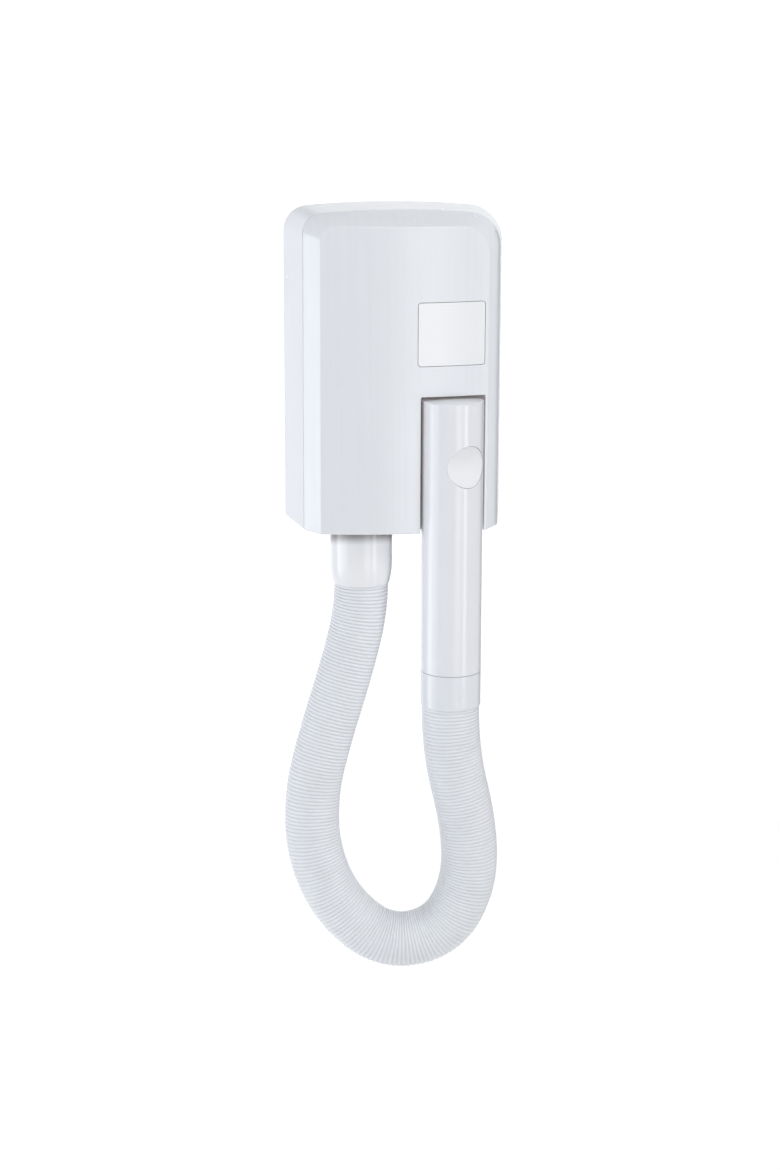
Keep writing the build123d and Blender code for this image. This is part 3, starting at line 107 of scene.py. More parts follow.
# only its face shows, so that a look from behind or below isn't blocked
behind = add(tree, "ShaderNodeNewGeometry").outputs["Backfacing"]
clear = add(tree, "ShaderNodeBsdfTransparent")
paper = add(tree, "ShaderNodeMixShader", None, (behind, mixed, clear))
add(tree, "ShaderNodeOutputMaterial", Surface=paper)


def sheet_of(name, corners, material=studio):
    """A flat quadrilateral of studio paper or card."""
    mesh = bpy.data.meshes.new(name)
    mesh.from_pydata(corners, [], [(0, 1, 2, 3)])
    mesh.materials.append(material)
    piece = bpy.data.objects.new(name, mesh)
    bpy.context.scene.collection.objects.link(piece)
    return piece


reach = 6
floor_z = -0.90
wall_y, wall_top = 1.5, 3.5
sheet_of("floor", [(-reach, -reach, floor_z), (reach, -reach, floor_z),
                   (reach, reach, floor_z), (-reach, reach, floor_z)])
sheet_of("backdrop", [(-reach, wall_y, floor_z), (reach, wall_y, floor_z),
                      (reach, wall_y, wall_top), (-reach, wall_y, wall_top)])

# two black cards stand behind, out of view, and only show in the gloss: they give the white
# mouldings a darker edge at the right and at the upper left
black_card, tree = new_material("card_matt_black")
add(tree, "ShaderNodeOutputMaterial",
    Surface=add(tree, "ShaderNodeBsdfDiffuse", Color=paint("#141414")))
right_card = sheet_of("right_card", [(1.00, 0.55, -0.85), (0.62, 1.00, -0.85),
                                     (0.62, 1.00, 0.30), (1.00, 0.55, 0.30)], black_card)
left_card = sheet_of("left_card", [(-0.70, 1.20, 0.55), (0.08, 1.35, 0.55),
                                   (0.08, 1.35, 1.40), (-0.70, 1.20, 1.40)], black_card)
for card in (right_card, left_card):
    card.visible_camera = card.visible_diffuse = card.visible_shadow = False
    card.visible_transmission = False

world = bpy.data.worlds.new("soft_surround")
bpy.context.scene.world = world
world.use_nodes = True
world.node_tree.nodes.clear()
tree = world.node_tree
fill_strength, seen_strength = 0.30, 1.0
strength = add(tree, "ShaderNodeMapRange", None,
               (seen_directly(tree), 0.0, 1.0, fill_strength, seen_strength))
surround = add(tree, "ShaderNodeBackground", None, Color=paint("#F8FAFD"), Strength=strength)
add(tree, "ShaderNodeOutputWorld", None, (surround,))

dryer_middle = Vector((0, 0, -0.1))


def soft_box(name, azimuth, rise, distance, width, height, watts, colour="#FFFFFF"):
    """A flat soft box that faces the dryer. azimuth, in degrees, goes from straight in front
    to the right, and rise upwards."""
    lamp = bpy.data.lights.new(name, "AREA")
    lamp.shape = "RECTANGLE"
    lamp.size = width
    lamp.size_y = height
    lamp.energy = watts
    lamp.color = paint(colour)[:3]
    piece = bpy.data.objects.new(name, lamp)
    a, e = math.radians(azimuth), math.radians(rise)
    away = Vector((math.sin(a) * math.cos(e), -math.cos(a) * math.cos(e), math.sin(e)))
    piece.location = dryer_middle + away * distance
    piece.rotation_euler = away.to_track_quat("Z", "Y").to_euler()
    bpy.context.scene.collection.objects.link(piece)


# azimuth and rise in degrees, distance, width and height in metres, and watts
soft_box("high_key_box", 30, 55, 2.2, 1.2, 1.2, 15.2)
soft_box("right_upright_box", 42, -10, 2.4, 0.4, 2.2, 14.6)
soft_box("low_front_box", 15, -8, 2.6, 0.9, 1.2, 8.0)
cool_white = "#F8FAFF"
soft_box("left_box", -93, -18, 2.0, 0.9, 1.6, 17.0, cool_white)
soft_box("left_front_box", -70, 5, 2.2, 0.6, 2.2, 10.0, cool_white)
soft_box("top_box", 0, 78, 2.2, 1.6, 1.6, 4.4)

# ---------------------------------------------------------------- camera
# Stands a little to the left and above, two metres away, with a long lens.
camera_place = Vector((-0.26135, -1.95020, 0.32600))
camera_aim = Vector((0.12808, 0.96116, -0.24447)).normalized()
camera_roll = math.radians(0.175)
sideways = camera_aim.cross(Vector((0, 0, 1))).normalized()
upwards = sideways.cross(camera_aim)
right = sideways * math.cos(camera_roll) + upwards * math.sin(camera_roll)
up = upwards * math.cos(camera_roll) - sideways * math.sin(camera_roll)
lens = bpy.data.cameras.new("camera")
lens.sensor_width = 36.0
lens.lens = 83.52
lens.clip_end = 50.0
camera = bpy.data.objects.new("camera", lens)
camera.matrix_world = Matrix.Translation(camera_place) @ Matrix(
    (right, up, -camera_aim)).transposed().to_4x4()
bpy.context.scene.collection.objects.link(camera)
bpy.context.scene.camera = camera
bpy.context.scene.view_settings.view_transform = "Standard"

# ---------------------------------------------------------------- rear shell
# The tub that is screwed to the wall and carries everything. It is moulded in off-white ABS
# in a polished tool, with a lip that the front cover closes over.


def polished_abs(name, hex_colour, gloss=0.24, drag=0.0):
    """ABS moulded in a polished tool: an even, cool off-white with a clear, slightly soft
    shine. drag is how much lighter and darker upright flow lines are."""
    material, tree = new_material(name)
    place = add(tree, "ShaderNodeTexCoord").outputs["Object"]
    # pigment clouds some 30 mm across, one or two shades apart
    cloud = add(tree, "ShaderNodeTexNoise", None, Vector=place, Scale=33.0, Detail=2.0)
    tone = add(tree, "ShaderNodeHueSaturation", None, Color=paint(hex_colour),
               Value=add(tree, "ShaderNodeMapRange", None, (cloud, 0.0, 1.0, 0.985, 1.015)))
    if drag:
        # flow lines 2 to 3 mm apart that fade over 150 mm
        lines = add(tree, "ShaderNodeMapping", None, (place, None, None, (420.0, 30.0, 7.0)))
        lines = add(tree, "ShaderNodeTexNoise", None, Vector=lines, Scale=1.0, Detail=2.0)
        tone = add(tree, "ShaderNodeHueSaturation", None, Color=tone,
                   Value=add(tree, "ShaderNodeMapRange", None,
                             (lines, 0.0, 1.0, 1 - drag, 1 + drag)))
    # cleaning leaves the shine uneven in patches of about 12 mm
    wiped = add(tree, "ShaderNodeTexNoise", None, Vector=place, Scale=85.0, Detail=3.0)
    shine = add(tree, "ShaderNodeMapRange", None, (wiped, 0.0, 1.0, gloss - 0.04, gloss + 0.06))
    # the skin's waves: 4 mm long and a thousandth or two high
    waves = add(tree, "ShaderNodeTexNoise", None, Vector=place, Scale=250.0, Detail=1.0)
    skin = add(tree, "ShaderNodeBump", None, Strength=0.08, Distance=0.0001, Height=waves)
    surface = add(tree, "ShaderNodeBsdfPrincipled", None, Base_Color=tone, Roughness=shine,
                  IOR=1.54, Normal=skin)
    add(tree, "ShaderNodeOutputMaterial", Surface=surface)
    return material


def wear_finish(material, *names):
    """Gives CAD nodes, whose shape is right, their material."""
    for name in names:
        nodes[name].data.materials.clear()
        nodes[name].data.materials.append(material)


shell_abs = polished_abs("abs_polished_off_white", "#EBEEF2")
wear_finish(shell_abs, "rear_housing")

# ---------------------------------------------------------------- cable entry
# The mains cable comes out of the wall through a soft grommet, under a saddle clamp, to a
# three-way block of natural nylon with plated steel screws.
rubber, tree = new_material("rubber_moulded_soft")
place = add(tree, "ShaderNodeTexCoord").outputs["Object"]
# a grey bloom in patches of 4 mm, over a skin with a grain of 0.4 mm
bloom = add(tree, "ShaderNodeTexNoise", None, Vector=place, Scale=260.0, Detail=5.0)
tone = add(tree, "ShaderNodeMix", {"data_type": "RGBA"}, Factor=bloom, A=paint("#151516"),
           B=paint("#2A2A2C"))
grain = add(tree, "ShaderNodeTexNoise", None, Vector=place, Scale=2500.0, Detail=2.0)
skin = add(tree, "ShaderNodeBump", None, Strength=0.25, Distance=0.0001, Height=grain)
surface = add(tree, "ShaderNodeBsdfPrincipled", None, Base_Color=tone, Roughness=0.72,
              IOR=1.52, Normal=skin)
add(tree, "ShaderNodeOutputMaterial", Surface=surface)
wear_finish(rubber, "cable_grommet")


def eroded_plastic(name, dark, light, roughness, grain_mm):
    """A plastic moulded in a spark-eroded tool: an even matt grain over slight flow clouds."""
    material, tree = new_material(name)
    place = add(tree, "ShaderNodeTexCoord").outputs["Object"]
    flow_mm = 18.0
    flow = add(tree, "ShaderNodeTexNoise", None, Vector=place, Scale=1000.0 / flow_mm,
               Detail=3.0, Distortion=0.6)
    tone = add(tree, "ShaderNodeMix", {"data_type": "RGBA"}, Factor=flow, A=paint(dark),
               B=paint(light))
    pits = add(tree, "ShaderNodeTexNoise", None, Vector=place, Scale=1000.0 / grain_mm,
               Detail=3.0)
    worn = add(tree, "ShaderNodeMapRange", None, (pits, 0.3, 0.7, roughness - 0.07,
                                                  roughness + 0.07))
    skin = add(tree, "ShaderNodeBump", None, Strength=0.35, Distance=0.0001, Height=pits)
    surface = add(tree, "ShaderNodeBsdfPrincipled", None, Base_Color=tone, Roughness=worn,
                  IOR=1.53, Normal=skin)
    add(tree, "ShaderNodeOutputMaterial", Surface=surface)
    return material


natural_nylon = eroded_plastic("nylon_natural_moulded", "#D6D0BE", "#E9E5D8", 0.42, 0.9)
plain_white = eroded_plastic("abs_eroded_white", "#CDD0D4", "#DCDEE2", 0.48, 0.8)
wear_finish(natural_nylon, "terminal_block")
wear_finish(plain_white, "cable_clamp")

# ---------------------------------------------------------------- control board
# A 1.6 mm glass-epoxy board on four posts: green lacquer over copper tracks, with the relay,
# film capacitor, connector and controller soldered on.
laminate, tree = new_material("glass_epoxy_green_lacquer")
place = add(tree, "ShaderNodeTexCoord").outputs["Object"]
# tracks 2.1 mm apart in runs of 7 mm, on the upright face
upright_place = add(tree, "ShaderNodeMapping", None, (place, (0, 0, 0), (math.radians(90), 0, 0)))
tracks = add(tree, "ShaderNodeTexBrick", {"offset": 0.37, "squash": 0.6, "squash_frequency": 3},
             Vector=upright_place, Color1=paint("#1F6B43"), Color2=paint("#1B5F3B"),
             Mortar=paint("#124B2D"), Scale=1000.0, Mortar_Size=0.35, Brick_Width=7.0,
             Row_Height=2.1)
# the glass cloth's weave, drawn 0.6 mm wide
weave = add(tree, "ShaderNodeTexVoronoi", {"distance": "CHEBYCHEV"}, Vector=place, Scale=1600.0,
            Randomness=0.15)
skin = add(tree, "ShaderNodeBump", None, Strength=0.2, Distance=0.00004,
           Height=tracks.outputs["Fac"])
skin = add(tree, "ShaderNodeBump", None, Strength=0.1, Distance=0.00002, Height=weave,
           Normal=skin)
surface = add(tree, "ShaderNodeBsdfPrincipled", None, Base_Color=tracks, Roughness=0.3,
              IOR=1.55, Normal=skin)
add(tree, "ShaderNodeOutputMaterial", Surface=surface)
wear_finish(laminate, "control_board")
wear_finish(eroded_plastic("pbt_blue_moulded", "#1D3F86", "#284E9A", 0.35, 0.9), "board_relay")
wear_finish(eroded_plastic("polyester_yellow_dipped", "#C79A1E", "#D9AF35", 0.3, 1.4),
            "board_capacitor")
wear_finish(natural_nylon, "board_connector")
black_epoxy = eroded_plastic("epoxy_black_moulded", "#151517", "#202023", 0.5, 0.6)
wear_finish(black_epoxy, "board_controller")

# ---------------------------------------------------------------- blower
# A spiral case in two halves, screwed together over the fan. Case and fan are black
# glass-filled nylon, whose fibres show as fine pale flecks.


def filled_nylon(name, dark, light, fleck):
    """Glass-filled nylon: dark, matt, with short fibres that lie along the flow."""
    material, tree = new_material(name)
    place = add(tree, "ShaderNodeTexCoord").outputs["Object"]
    flow = add(tree, "ShaderNodeTexNoise", None, Vector=place, Scale=60.0, Detail=3.0)
    base = add(tree, "ShaderNodeMix", {"data_type": "RGBA"}, Factor=flow, A=paint(dark),
               B=paint(light))
    # fibres, drawn 0.5 mm thick and 3 mm long so that they show
    along = add(tree, "ShaderNodeMapping", None, (place, (0, 0, 0), (0.3, 0.5, 0.2),
                                                  (2000, 2000, 330)))
    fibres = add(tree, "ShaderNodeTexNoise", None, Vector=along, Scale=1.0, Detail=1.0)
    share = add(tree, "ShaderNodeMapRange", None, (fibres, 0.62, 0.72, 0.0, 0.5))
    tone = add(tree, "ShaderNodeMix", {"data_type": "RGBA"}, Factor=share, A=base,
               B=paint(fleck))
    skin = add(tree, "ShaderNodeBump", None, Strength=0.3, Distance=0.0001, Height=fibres)
    surface = add(tree, "ShaderNodeBsdfPrincipled", None, Base_Color=tone, Roughness=0.5,
                  IOR=1.53, Normal=skin)
    add(tree, "ShaderNodeOutputMaterial", Surface=surface)
    return material


wear_finish(filled_nylon("nylon_glass_filled_black", "#17181A", "#212225", "#4A4B4E"),
            "scroll_base", "scroll_lid", "impeller")

# ---------------------------------------------------------------- motor
# A small permanent-magnet motor in a zinc-plated can, on sintered bronze bearings, with a
# ground steel shaft.


def plated_steel(name, hex_colour, tint, roughness, spangle_mm):
    """Zinc-plated sheet or wire: grey with a faint bluish or yellowish cast in small patches."""
    material, tree = new_material(name)
    place = add(tree, "ShaderNodeTexCoord").outputs["Object"]
    patch = add(tree, "ShaderNodeTexVoronoi", None, Vector=place, Scale=1000.0 / spangle_mm)
    tone = add(tree, "ShaderNodeMix", {"data_type": "RGBA"},
               Factor=add(tree, "ShaderNodeSeparateColor", None, (patch.outputs["Color"],)),
               A=paint(hex_colour), B=paint(tint))
    # handling leaves scuffs about a millimetre across
    rub = add(tree, "ShaderNodeTexNoise", None, Vector=place, Scale=900.0, Detail=4.0)
    worn = add(tree, "ShaderNodeMapRange", None, (rub, 0.3, 0.7, roughness - 0.06,
                                                  roughness + 0.08))
    surface = add(tree, "ShaderNodeBsdfPrincipled", None, Base_Color=tone, Metallic=1.0,
                  Roughness=worn)
    add(tree, "ShaderNodeOutputMaterial", Surface=surface)
    return material


wear_finish(plated_steel("steel_zinc_plated_can", "#C3C6CB", "#B8BCC6", 0.34, 4.0), "motor_body")
wear_finish(plated_steel("bronze_sintered", "#B08A52", "#9A7744", 0.5, 0.5), "motor_bearings")

ground, tree = new_material("steel_ground")
place = add(tree, "ShaderNodeTexCoord").outputs["Object"]
# grinding marks run round the shaft, drawn 0.4 mm apart
rings = add(tree, "ShaderNodeTexWave", {"bands_direction": "Y"}, Vector=place, Scale=780.0,
            Distortion=2.0, Detail=2.0)
worn = add(tree, "ShaderNodeMapRange", None, (rings.outputs["Fac"], 0.0, 1.0, 0.16, 0.28))
surface = add(tree, "ShaderNodeBsdfPrincipled", None, Base_Color=paint("#D2D3D6"),
              Metallic=1.0, Roughness=worn)
add(tree, "ShaderNodeOutputMaterial", Surface=surface)
wear_finish(ground, "motor_shaft")

# ---------------------------------------------------------------- heater
# A nichrome coil wound on crossed mica boards stands in a mica sleeve, inside a duct of dark
# heat-resistant resin. A thermostat and a thermal fuse in plated cans guard it.
wear_finish(filled_nylon("pps_glass_filled_dark", "#222326", "#2C2D31", "#5A5B5E"),
            "heater_duct")

mica, tree = new_material("mica_pressed_sheet")
place = add(tree, "ShaderNodeTexCoord").outputs["Object"]
# pressed flakes about 3 mm across, each a little lighter or darker
flakes = add(tree, "ShaderNodeTexVoronoi", None, Vector=place, Scale=330.0)
share = add(tree, "ShaderNodeSeparateColor", None, (flakes.outputs["Color"],))
tone = add(tree, "ShaderNodeMix", {"data_type": "RGBA"}, Factor=share, A=paint("#9C8A63"),
           B=paint("#CBBE9B"))
shine = add(tree, "ShaderNodeMapRange", None, (share, 0.0, 1.0, 0.22, 0.45))
surface = add(tree, "ShaderNodeBsdfPrincipled", None, Base_Color=tone, Roughness=shine,
              IOR=1.58)
add(tree, "ShaderNodeOutputMaterial", Surface=surface)
wear_finish(mica, "mica_sleeve", "heater_frame")

nichrome, tree = new_material("nichrome_wire_oxidised")
place = add(tree, "ShaderNodeTexCoord").outputs["Object"]
# heat tints change from straw to blue-grey over a few centimetres
heat = add(tree, "ShaderNodeTexNoise", None, Vector=place, Scale=45.0, Detail=2.0)
tone = add(tree, "ShaderNodeMix", {"data_type": "RGBA"}, Factor=heat, A=paint("#8A7F74"),
           B=paint("#6A6C75"))
surface = add(tree, "ShaderNodeBsdfPrincipled", None, Base_Color=tone, Metallic=1.0,
              Roughness=0.42)
add(tree, "ShaderNodeOutputMaterial", Surface=surface)
wear_finish(nichrome, "heater_coil")

zinc = plated_steel("steel_zinc_plated", "#CDD0D4", "#C2C6CF", 0.3, 1.2)
wear_finish(zinc, "thermostat", "thermal_fuse")

# ---------------------------------------------------------------- air inlet
# A slotted grille clips into the underside, over a sheet of open-cell filter foam.
wear_finish(shell_abs, "inlet_grille")

foam, tree = new_material("polyurethane_foam_open_cell")
place = add(tree, "ShaderNodeTexCoord").outputs["Object"]
# cells of 0.8 mm, whose hollows are darkened with painted shade
cells = add(tree, "ShaderNodeTexVoronoi", {"feature": "DISTANCE_TO_EDGE"}, Vector=place,
            Scale=1250.0)
tone = add(tree, "ShaderNodeMix", {"data_type": "RGBA"},
           Factor=add(tree, "ShaderNodeMapRange", None, (cells, 0.0, 0.25, 0.0, 1.0)),
           A=paint("#3A3B3E"), B=paint("#0E0E0F"))
skin = add(tree, "ShaderNodeBump", {"invert": True}, Strength=0.8, Distance=0.0005,
           Height=cells)
surface = add(tree, "ShaderNodeBsdfPrincipled", None, Base_Color=tone, Roughness=0.95,
              IOR=1.5, Normal=skin)
add(tree, "ShaderNodeOutputMaterial", Surface=surface)
wear_finish(foam, "inlet_filter")

# ---------------------------------------------------------------- cradle
# The white trough that the handset parks in, with a ferrite magnet and a snap switch behind
# it. Its plunger is pushed in by the parked handset.


def shader_of(material):
    """The shader of a finished material, for a socket that only this piece sets."""
    return next(node for node in material.node_tree.nodes if node.type == "BSDF_PRINCIPLED")


recess_abs_painted_light = polished_abs("abs_polished_recess", "#F4F5F7")
# the recess is a lighter white than the cover and glows a faint warm brown: painted light that
# lifts the shade in the dark gap round the handset
painted_glow = shader_of(recess_abs_painted_light).inputs
painted_glow["Emission Color"].default_value = paint("#5A4F47")
painted_glow["Emission Strength"].default_value = 0.35
wear_finish(recess_abs_painted_light, "handset_cradle")
wear_finish(eroded_plastic("ferrite_sintered", "#26272A", "#35363A", 0.6, 0.7),
            "cradle_magnet")
wear_finish(black_epoxy, "parking_switch")
wear_finish(natural_nylon, "parking_plunger")

# ---------------------------------------------------------------- front cover
# The bevelled cover with its bowed panel, in the same ABS. The resin ran up the panel from
# the foot, which leaves faint upright lines in its shine.
cover_abs = polished_abs("abs_polished_cover", "#EBEEF2", drag=0.03)
# how far the bevel's normals lean at the sides, at the top and at the right
crown_side, crown_top = math.radians(4), math.radians(7)
crown_right_in, crown_right_out = math.radians(34), math.radians(15)
# the bevel's depth from the wall at its two edges, and the slopes, in degrees, that it has
seam_line, panel_line = 0.048, 0.0645
least_slope, most_slope = 30, 75


def joined_copy(node, name):
    """A copy of a CAD node with its loose triangles joined, and its exact normals beside it."""
    source = nodes[node].data
    per_micron = 1e6
    spots, faces, found = [], [], {}
    for polygon in source.polygons:
        corners = []
        for index in polygon.vertices:
            key = tuple(round(c * per_micron) for c in source.vertices[index].co)
            if key not in found:
                found[key] = len(spots)
                spots.append(source.vertices[index].co.copy())
            corners.append(found[key])
        faces.append(corners)
    normals = [source.corner_normals[i].vector.copy() for i in range(len(source.loops))]
    kept = [i for i, corners in enumerate(faces) if len(set(corners)) == 3]
    mesh = bpy.data.meshes.new(name)
    mesh.from_pydata(spots, [], [faces[i] for i in kept])
    picked = [normals[loop] for i in kept for loop in source.polygons[i].loop_indices]
    mesh.polygons.foreach_set("use_smooth", [True] * len(mesh.polygons))
    piece = bpy.data.objects.new(name, mesh)
    bpy.context.scene.collection.objects.link(piece)
    return piece, picked


cover, normals = joined_copy("front_cover", "bevelled_front_cover")
# the bevel is slightly crowned: its normals lean out at the seam and in at the panel, and more
# on the right-hand side, where the edge of the panel is rounder; its seam fillet keeps its own
for polygon in cover.data.polygons:
    flat = polygon.normal
    slope = math.degrees(math.acos(max(-1.0, min(1.0, -flat.y))))
    if not least_slope < slope < most_slope:
        continue
    out = Vector((flat.x, 0.0, flat.z)).normalized()
    if polygon.center.dot(out) < 0 or polygon.area < 1e-9:
        continue
    # shares of the top, of the right-hand side and of the other sides
    top = abs(out.z)
    rounder = max(0.0, min(1.0, (out.x - 0.5) / 0.4))
    side = 1 - top - rounder
    lean_out = crown_top * top + crown_right_out * rounder - crown_side * side
    lean_in = crown_top * top + crown_right_in * rounder + crown_side * side
    for loop, index in zip(polygon.loop_indices, polygon.vertices):
        depth = -cover.data.vertices[index].co.y
        in_fillet = normals[loop].dot(flat) < 0.999
        if in_fillet and depth < seam_line + 0.001:
            continue
        share = max(0.0, min(1.0, (depth - seam_line) / (panel_line - seam_line)))
        lean = lean_out * (1 - share) - lean_in * share
        across = (out - flat * out.dot(flat)).normalized()
        turned = normals[loop] * math.cos(lean) + across * math.sin(lean)
        normals[loop] = turned.normalized()
cover.data.normals_split_custom_set(normals)
cover.data.materials.append(cover_abs)
cover.data.materials.append(recess_abs_painted_light)
# the second finish, with its painted light, is for the walls of the handset's recess, which stand
# round the cradle
recess_low, recess_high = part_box("handset_cradle")
wall = 0.004
for polygon in cover.data.polygons:
    spot = polygon.center
    beside = recess_low[0] - wall < spot.x < recess_high[0] + wall
    if beside and spot.z < recess_high[2] + wall and abs(polygon.normal.y) < 0.5:
        polygon.material_index = 1
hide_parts("front_cover")
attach(cover, "housing")

# ---------------------------------------------------------------- blanking plate
# A square plate that closes the place for a shaver socket. It snaps in from the front and
# leaves a fine joint all round. It is moulded in a slightly clearer white.
wear_finish(polished_abs("abs_polished_clear_white", "#F5F6F8", 0.22), "blanking_plate")

# ---------------------------------------------------------------- spout
# The hose's rigid root: a moulded ABS tube that comes down through the housing's floor and
# is drawn in a little at its lip. Close under the floor its root is darkened brown with painted
# shade.
spout_abs_painted_shade = polished_abs("abs_polished_spout", "#F5F6F8", 0.22)
tree = spout_abs_painted_shade.node_tree
white = shader_of(spout_abs_painted_shade).inputs["Base Color"]
place = add(tree, "ShaderNodeTexCoord").outputs["Object"]
spread = add(tree, "ShaderNodeSeparateXYZ", None, (place,)).outputs
# how much lower the painted shade reaches for each millimetre further back
slant = 0.22
height = add(tree, "ShaderNodeMath", {"operation": "MULTIPLY_ADD"},
             (spread["Y"], slant, spread["Z"]))
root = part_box("rear_housing")[0][2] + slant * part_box("hose_spout")[0][1]
# painted shade: the colour turns dark brown towards the housing's floor, and lower further back
painted_shade = add(tree, "ShaderNodeMapRange", {"interpolation_type": "SMOOTHSTEP"},
            (height, root - 0.0095, root - 0.001, 0.0, 0.8))
tone = add(tree, "ShaderNodeMix", {"data_type": "RGBA"}, Factor=painted_shade,
           A=white.links[0].from_socket, B=paint("#5E5450"))
tree.links.new(tone.outputs["Result"], white)
wear_finish(spout_abs_painted_shade, "hose_spout")

# ---------------------------------------------------------------- air hose
# A soft vinyl hose wound over a wire helix, ribbed every 2.65 mm. It hangs in a loop from the
# spout to the swivel collar under the handset, and widens a little on the way.
hose_exit = (-0.0275, -0.0360, -0.1570)
hose_points = [
    hose_exit, (-0.0275, -0.036, -0.178), (-0.038, -0.037, -0.221), (-0.055, -0.039, -0.275),
    (-0.0654, -0.0415, -0.316), (-0.0647, -0.045, -0.363), (-0.046, -0.049, -0.405),
    (-0.011, -0.054, -0.4335), (0.0305, -0.0585, -0.425), (0.0503, -0.0625, -0.387),
    (0.0498, -0.065, -0.340), (0.0346, -0.066, -0.279), (0.0346, -0.066, -0.2442),
]
rib_pitch = 0.00265
rib_height = 0.0008
rings_per_rib = 8.0
rib_roundness = 0.8
hose_sides = 56
hose_start_radius = 0.0198
hose_end_radius = 0.0212

vinyl, tree = new_material("vinyl_extruded_satin")
place = add(tree, "ShaderNodeTexCoord").outputs["Object"]
# painted shade darkens the valleys between the ribs
groove_painted_shade = add(tree, "ShaderNodeAttribute", {"attribute_name": "groove_painted_shade"}).outputs["Fac"]
tone = add(tree, "ShaderNodeMix", {"data_type": "RGBA"}, Factor=groove_painted_shade, A=paint("#F0F2F5"),
           B=paint("#DADDE2"))
# the vinyl's colour drifts over 18 mm, and its skin has draw marks of 1.4 mm
cloud = add(tree, "ShaderNodeTexNoise", None, Vector=place, Scale=55.0, Detail=3.0)
tone = add(tree, "ShaderNodeHueSaturation", None, Color=tone,
           Value=add(tree, "ShaderNodeMapRange", None, (cloud, 0.3, 0.7, 0.98, 1.02)))
pull = add(tree, "ShaderNodeTexNoise", None, Vector=place, Scale=700.0, Detail=2.0)
shine = add(tree, "ShaderNodeMapRange", None, (pull, 0.3, 0.7, 0.36, 0.48))
skin = add(tree, "ShaderNodeBump", None, Strength=0.15, Distance=0.0001, Height=pull)
surface = add(tree, "ShaderNodeBsdfPrincipled", None, Base_Color=tone, Roughness=shine,
              IOR=1.53, Normal=skin)
add(tree, "ShaderNodeOutputMaterial", Surface=surface)

route = bpy.data.curves.new("hose_route", "CURVE")
route.dimensions = "3D"
spline = route.splines.new("NURBS")
spline.points.add(len(hose_points) - 1)
for point, spot in zip(spline.points, hose_points):
    point.co = (*spot, 1.0)
spline.order_u = 3
spline.use_endpoint_u = True
route.resolution_u = 24
hose_line = bpy.data.objects.new("hose_line", route)
bpy.context.scene.collection.objects.link(hose_line)
bpy.context.view_layer.update()
centreline = bpy.data.meshes.new_from_object(
    hose_line.evaluated_get(bpy.context.evaluated_depsgraph_get()))

ribbed = bpy.data.node_groups.new("ribbed_hose", "GeometryNodeTree")
for label, kind in (("Route", "NodeSocketGeometry"), ("Rib Pitch", "NodeSocketFloat"),
                    ("Rib Height", "NodeSocketFloat"), ("Start Radius", "NodeSocketFloat"),
                    ("End Radius", "NodeSocketFloat"), ("Sides", "NodeSocketInt"),
                    ("Material", "NodeSocketMaterial")):
    ribbed.interface.new_socket(label, in_out="INPUT", socket_type=kind)
ribbed.interface.new_socket("Hose", in_out="OUTPUT", socket_type="NodeSocketGeometry")
given = add(ribbed, "NodeGroupInput").outputs
# enough rings of points to a rib for a round crest and a sharp valley
step = add(ribbed, "ShaderNodeMath", {"operation": "DIVIDE"},
           (given["Rib Pitch"], rings_per_rib))
line = add(ribbed, "GeometryNodeResampleCurve", {"mode": "LENGTH"},
           (given["Route"], None, step))
along = add(ribbed, "GeometryNodeSplineParameter").outputs
turns = add(ribbed, "ShaderNodeMath", {"operation": "DIVIDE"},
            (along["Length"], given["Rib Pitch"]))
angle = add(ribbed, "ShaderNodeMath", {"operation": "MULTIPLY"}, (turns, math.pi))
wave = add(ribbed, "ShaderNodeMath", {"operation": "SINE"}, (angle,))
crest = add(ribbed, "ShaderNodeMath", {"operation": "ABSOLUTE"}, (wave,))
crest = add(ribbed, "ShaderNodeMath", {"operation": "POWER"}, (crest, rib_roundness))
valley = add(ribbed, "ShaderNodeMath", {"operation": "SUBTRACT"}, (1.0, crest))
outer = add(ribbed, "ShaderNodeMapRange", None,
            (along["Factor"], 0.0, 1.0, given["Start Radius"], given["End Radius"]))
depth = add(ribbed, "ShaderNodeMath", {"operation": "MULTIPLY"}, (valley, given["Rib Height"]))
radius = add(ribbed, "ShaderNodeMath", {"operation": "SUBTRACT"}, (outer, depth))
# the valley's share is also stored for the painted shade between the ribs
marked = add(ribbed, "GeometryNodeStoreNamedAttribute", {"data_type": "FLOAT"},
             Geometry=line, Name="groove_painted_shade", Value=valley)
marked = add(ribbed, "GeometryNodeStoreNamedAttribute", {"data_type": "FLOAT"},
             Geometry=marked, Name="hose_radius", Value=radius)
section = add(ribbed, "GeometryNodeCurvePrimitiveCircle", None, Resolution=given["Sides"],
              Radius=1.0)
scale = add(ribbed, "GeometryNodeInputNamedAttribute", {"data_type": "FLOAT"},
            Name="hose_radius")
tube = add(ribbed, "GeometryNodeCurveToMesh", None, (marked, section, scale, True))
smooth = add(ribbed, "GeometryNodeSetShadeSmooth", None, (tube,))
real = add(ribbed, "GeometryNodeRealizeInstances", None, (smooth,))
dressed = add(ribbed, "GeometryNodeSetMaterial", None, Geometry=real,
              Material=given["Material"])
add(ribbed, "NodeGroupOutput", None, (dressed,))


def grown(source, tree, name, **values):
    """The plain mesh piece that a geometry tree makes of an object, with its inputs set."""
    live = source.modifiers.new("grow", "NODES")
    live.node_group = tree
    for item in tree.interface.items_tree:
        if item.in_out == "INPUT" and item.name.replace(" ", "_") in values:
            live[item.identifier] = values[item.name.replace(" ", "_")]
    bpy.context.view_layer.update()
    depsgraph = bpy.context.evaluated_depsgraph_get()
    mesh = bpy.data.meshes.new_from_object(source.evaluated_get(depsgraph))
    source.modifiers.remove(live)
    piece = bpy.data.objects.new(name, mesh)
    bpy.context.scene.collection.objects.link(piece)
    return piece


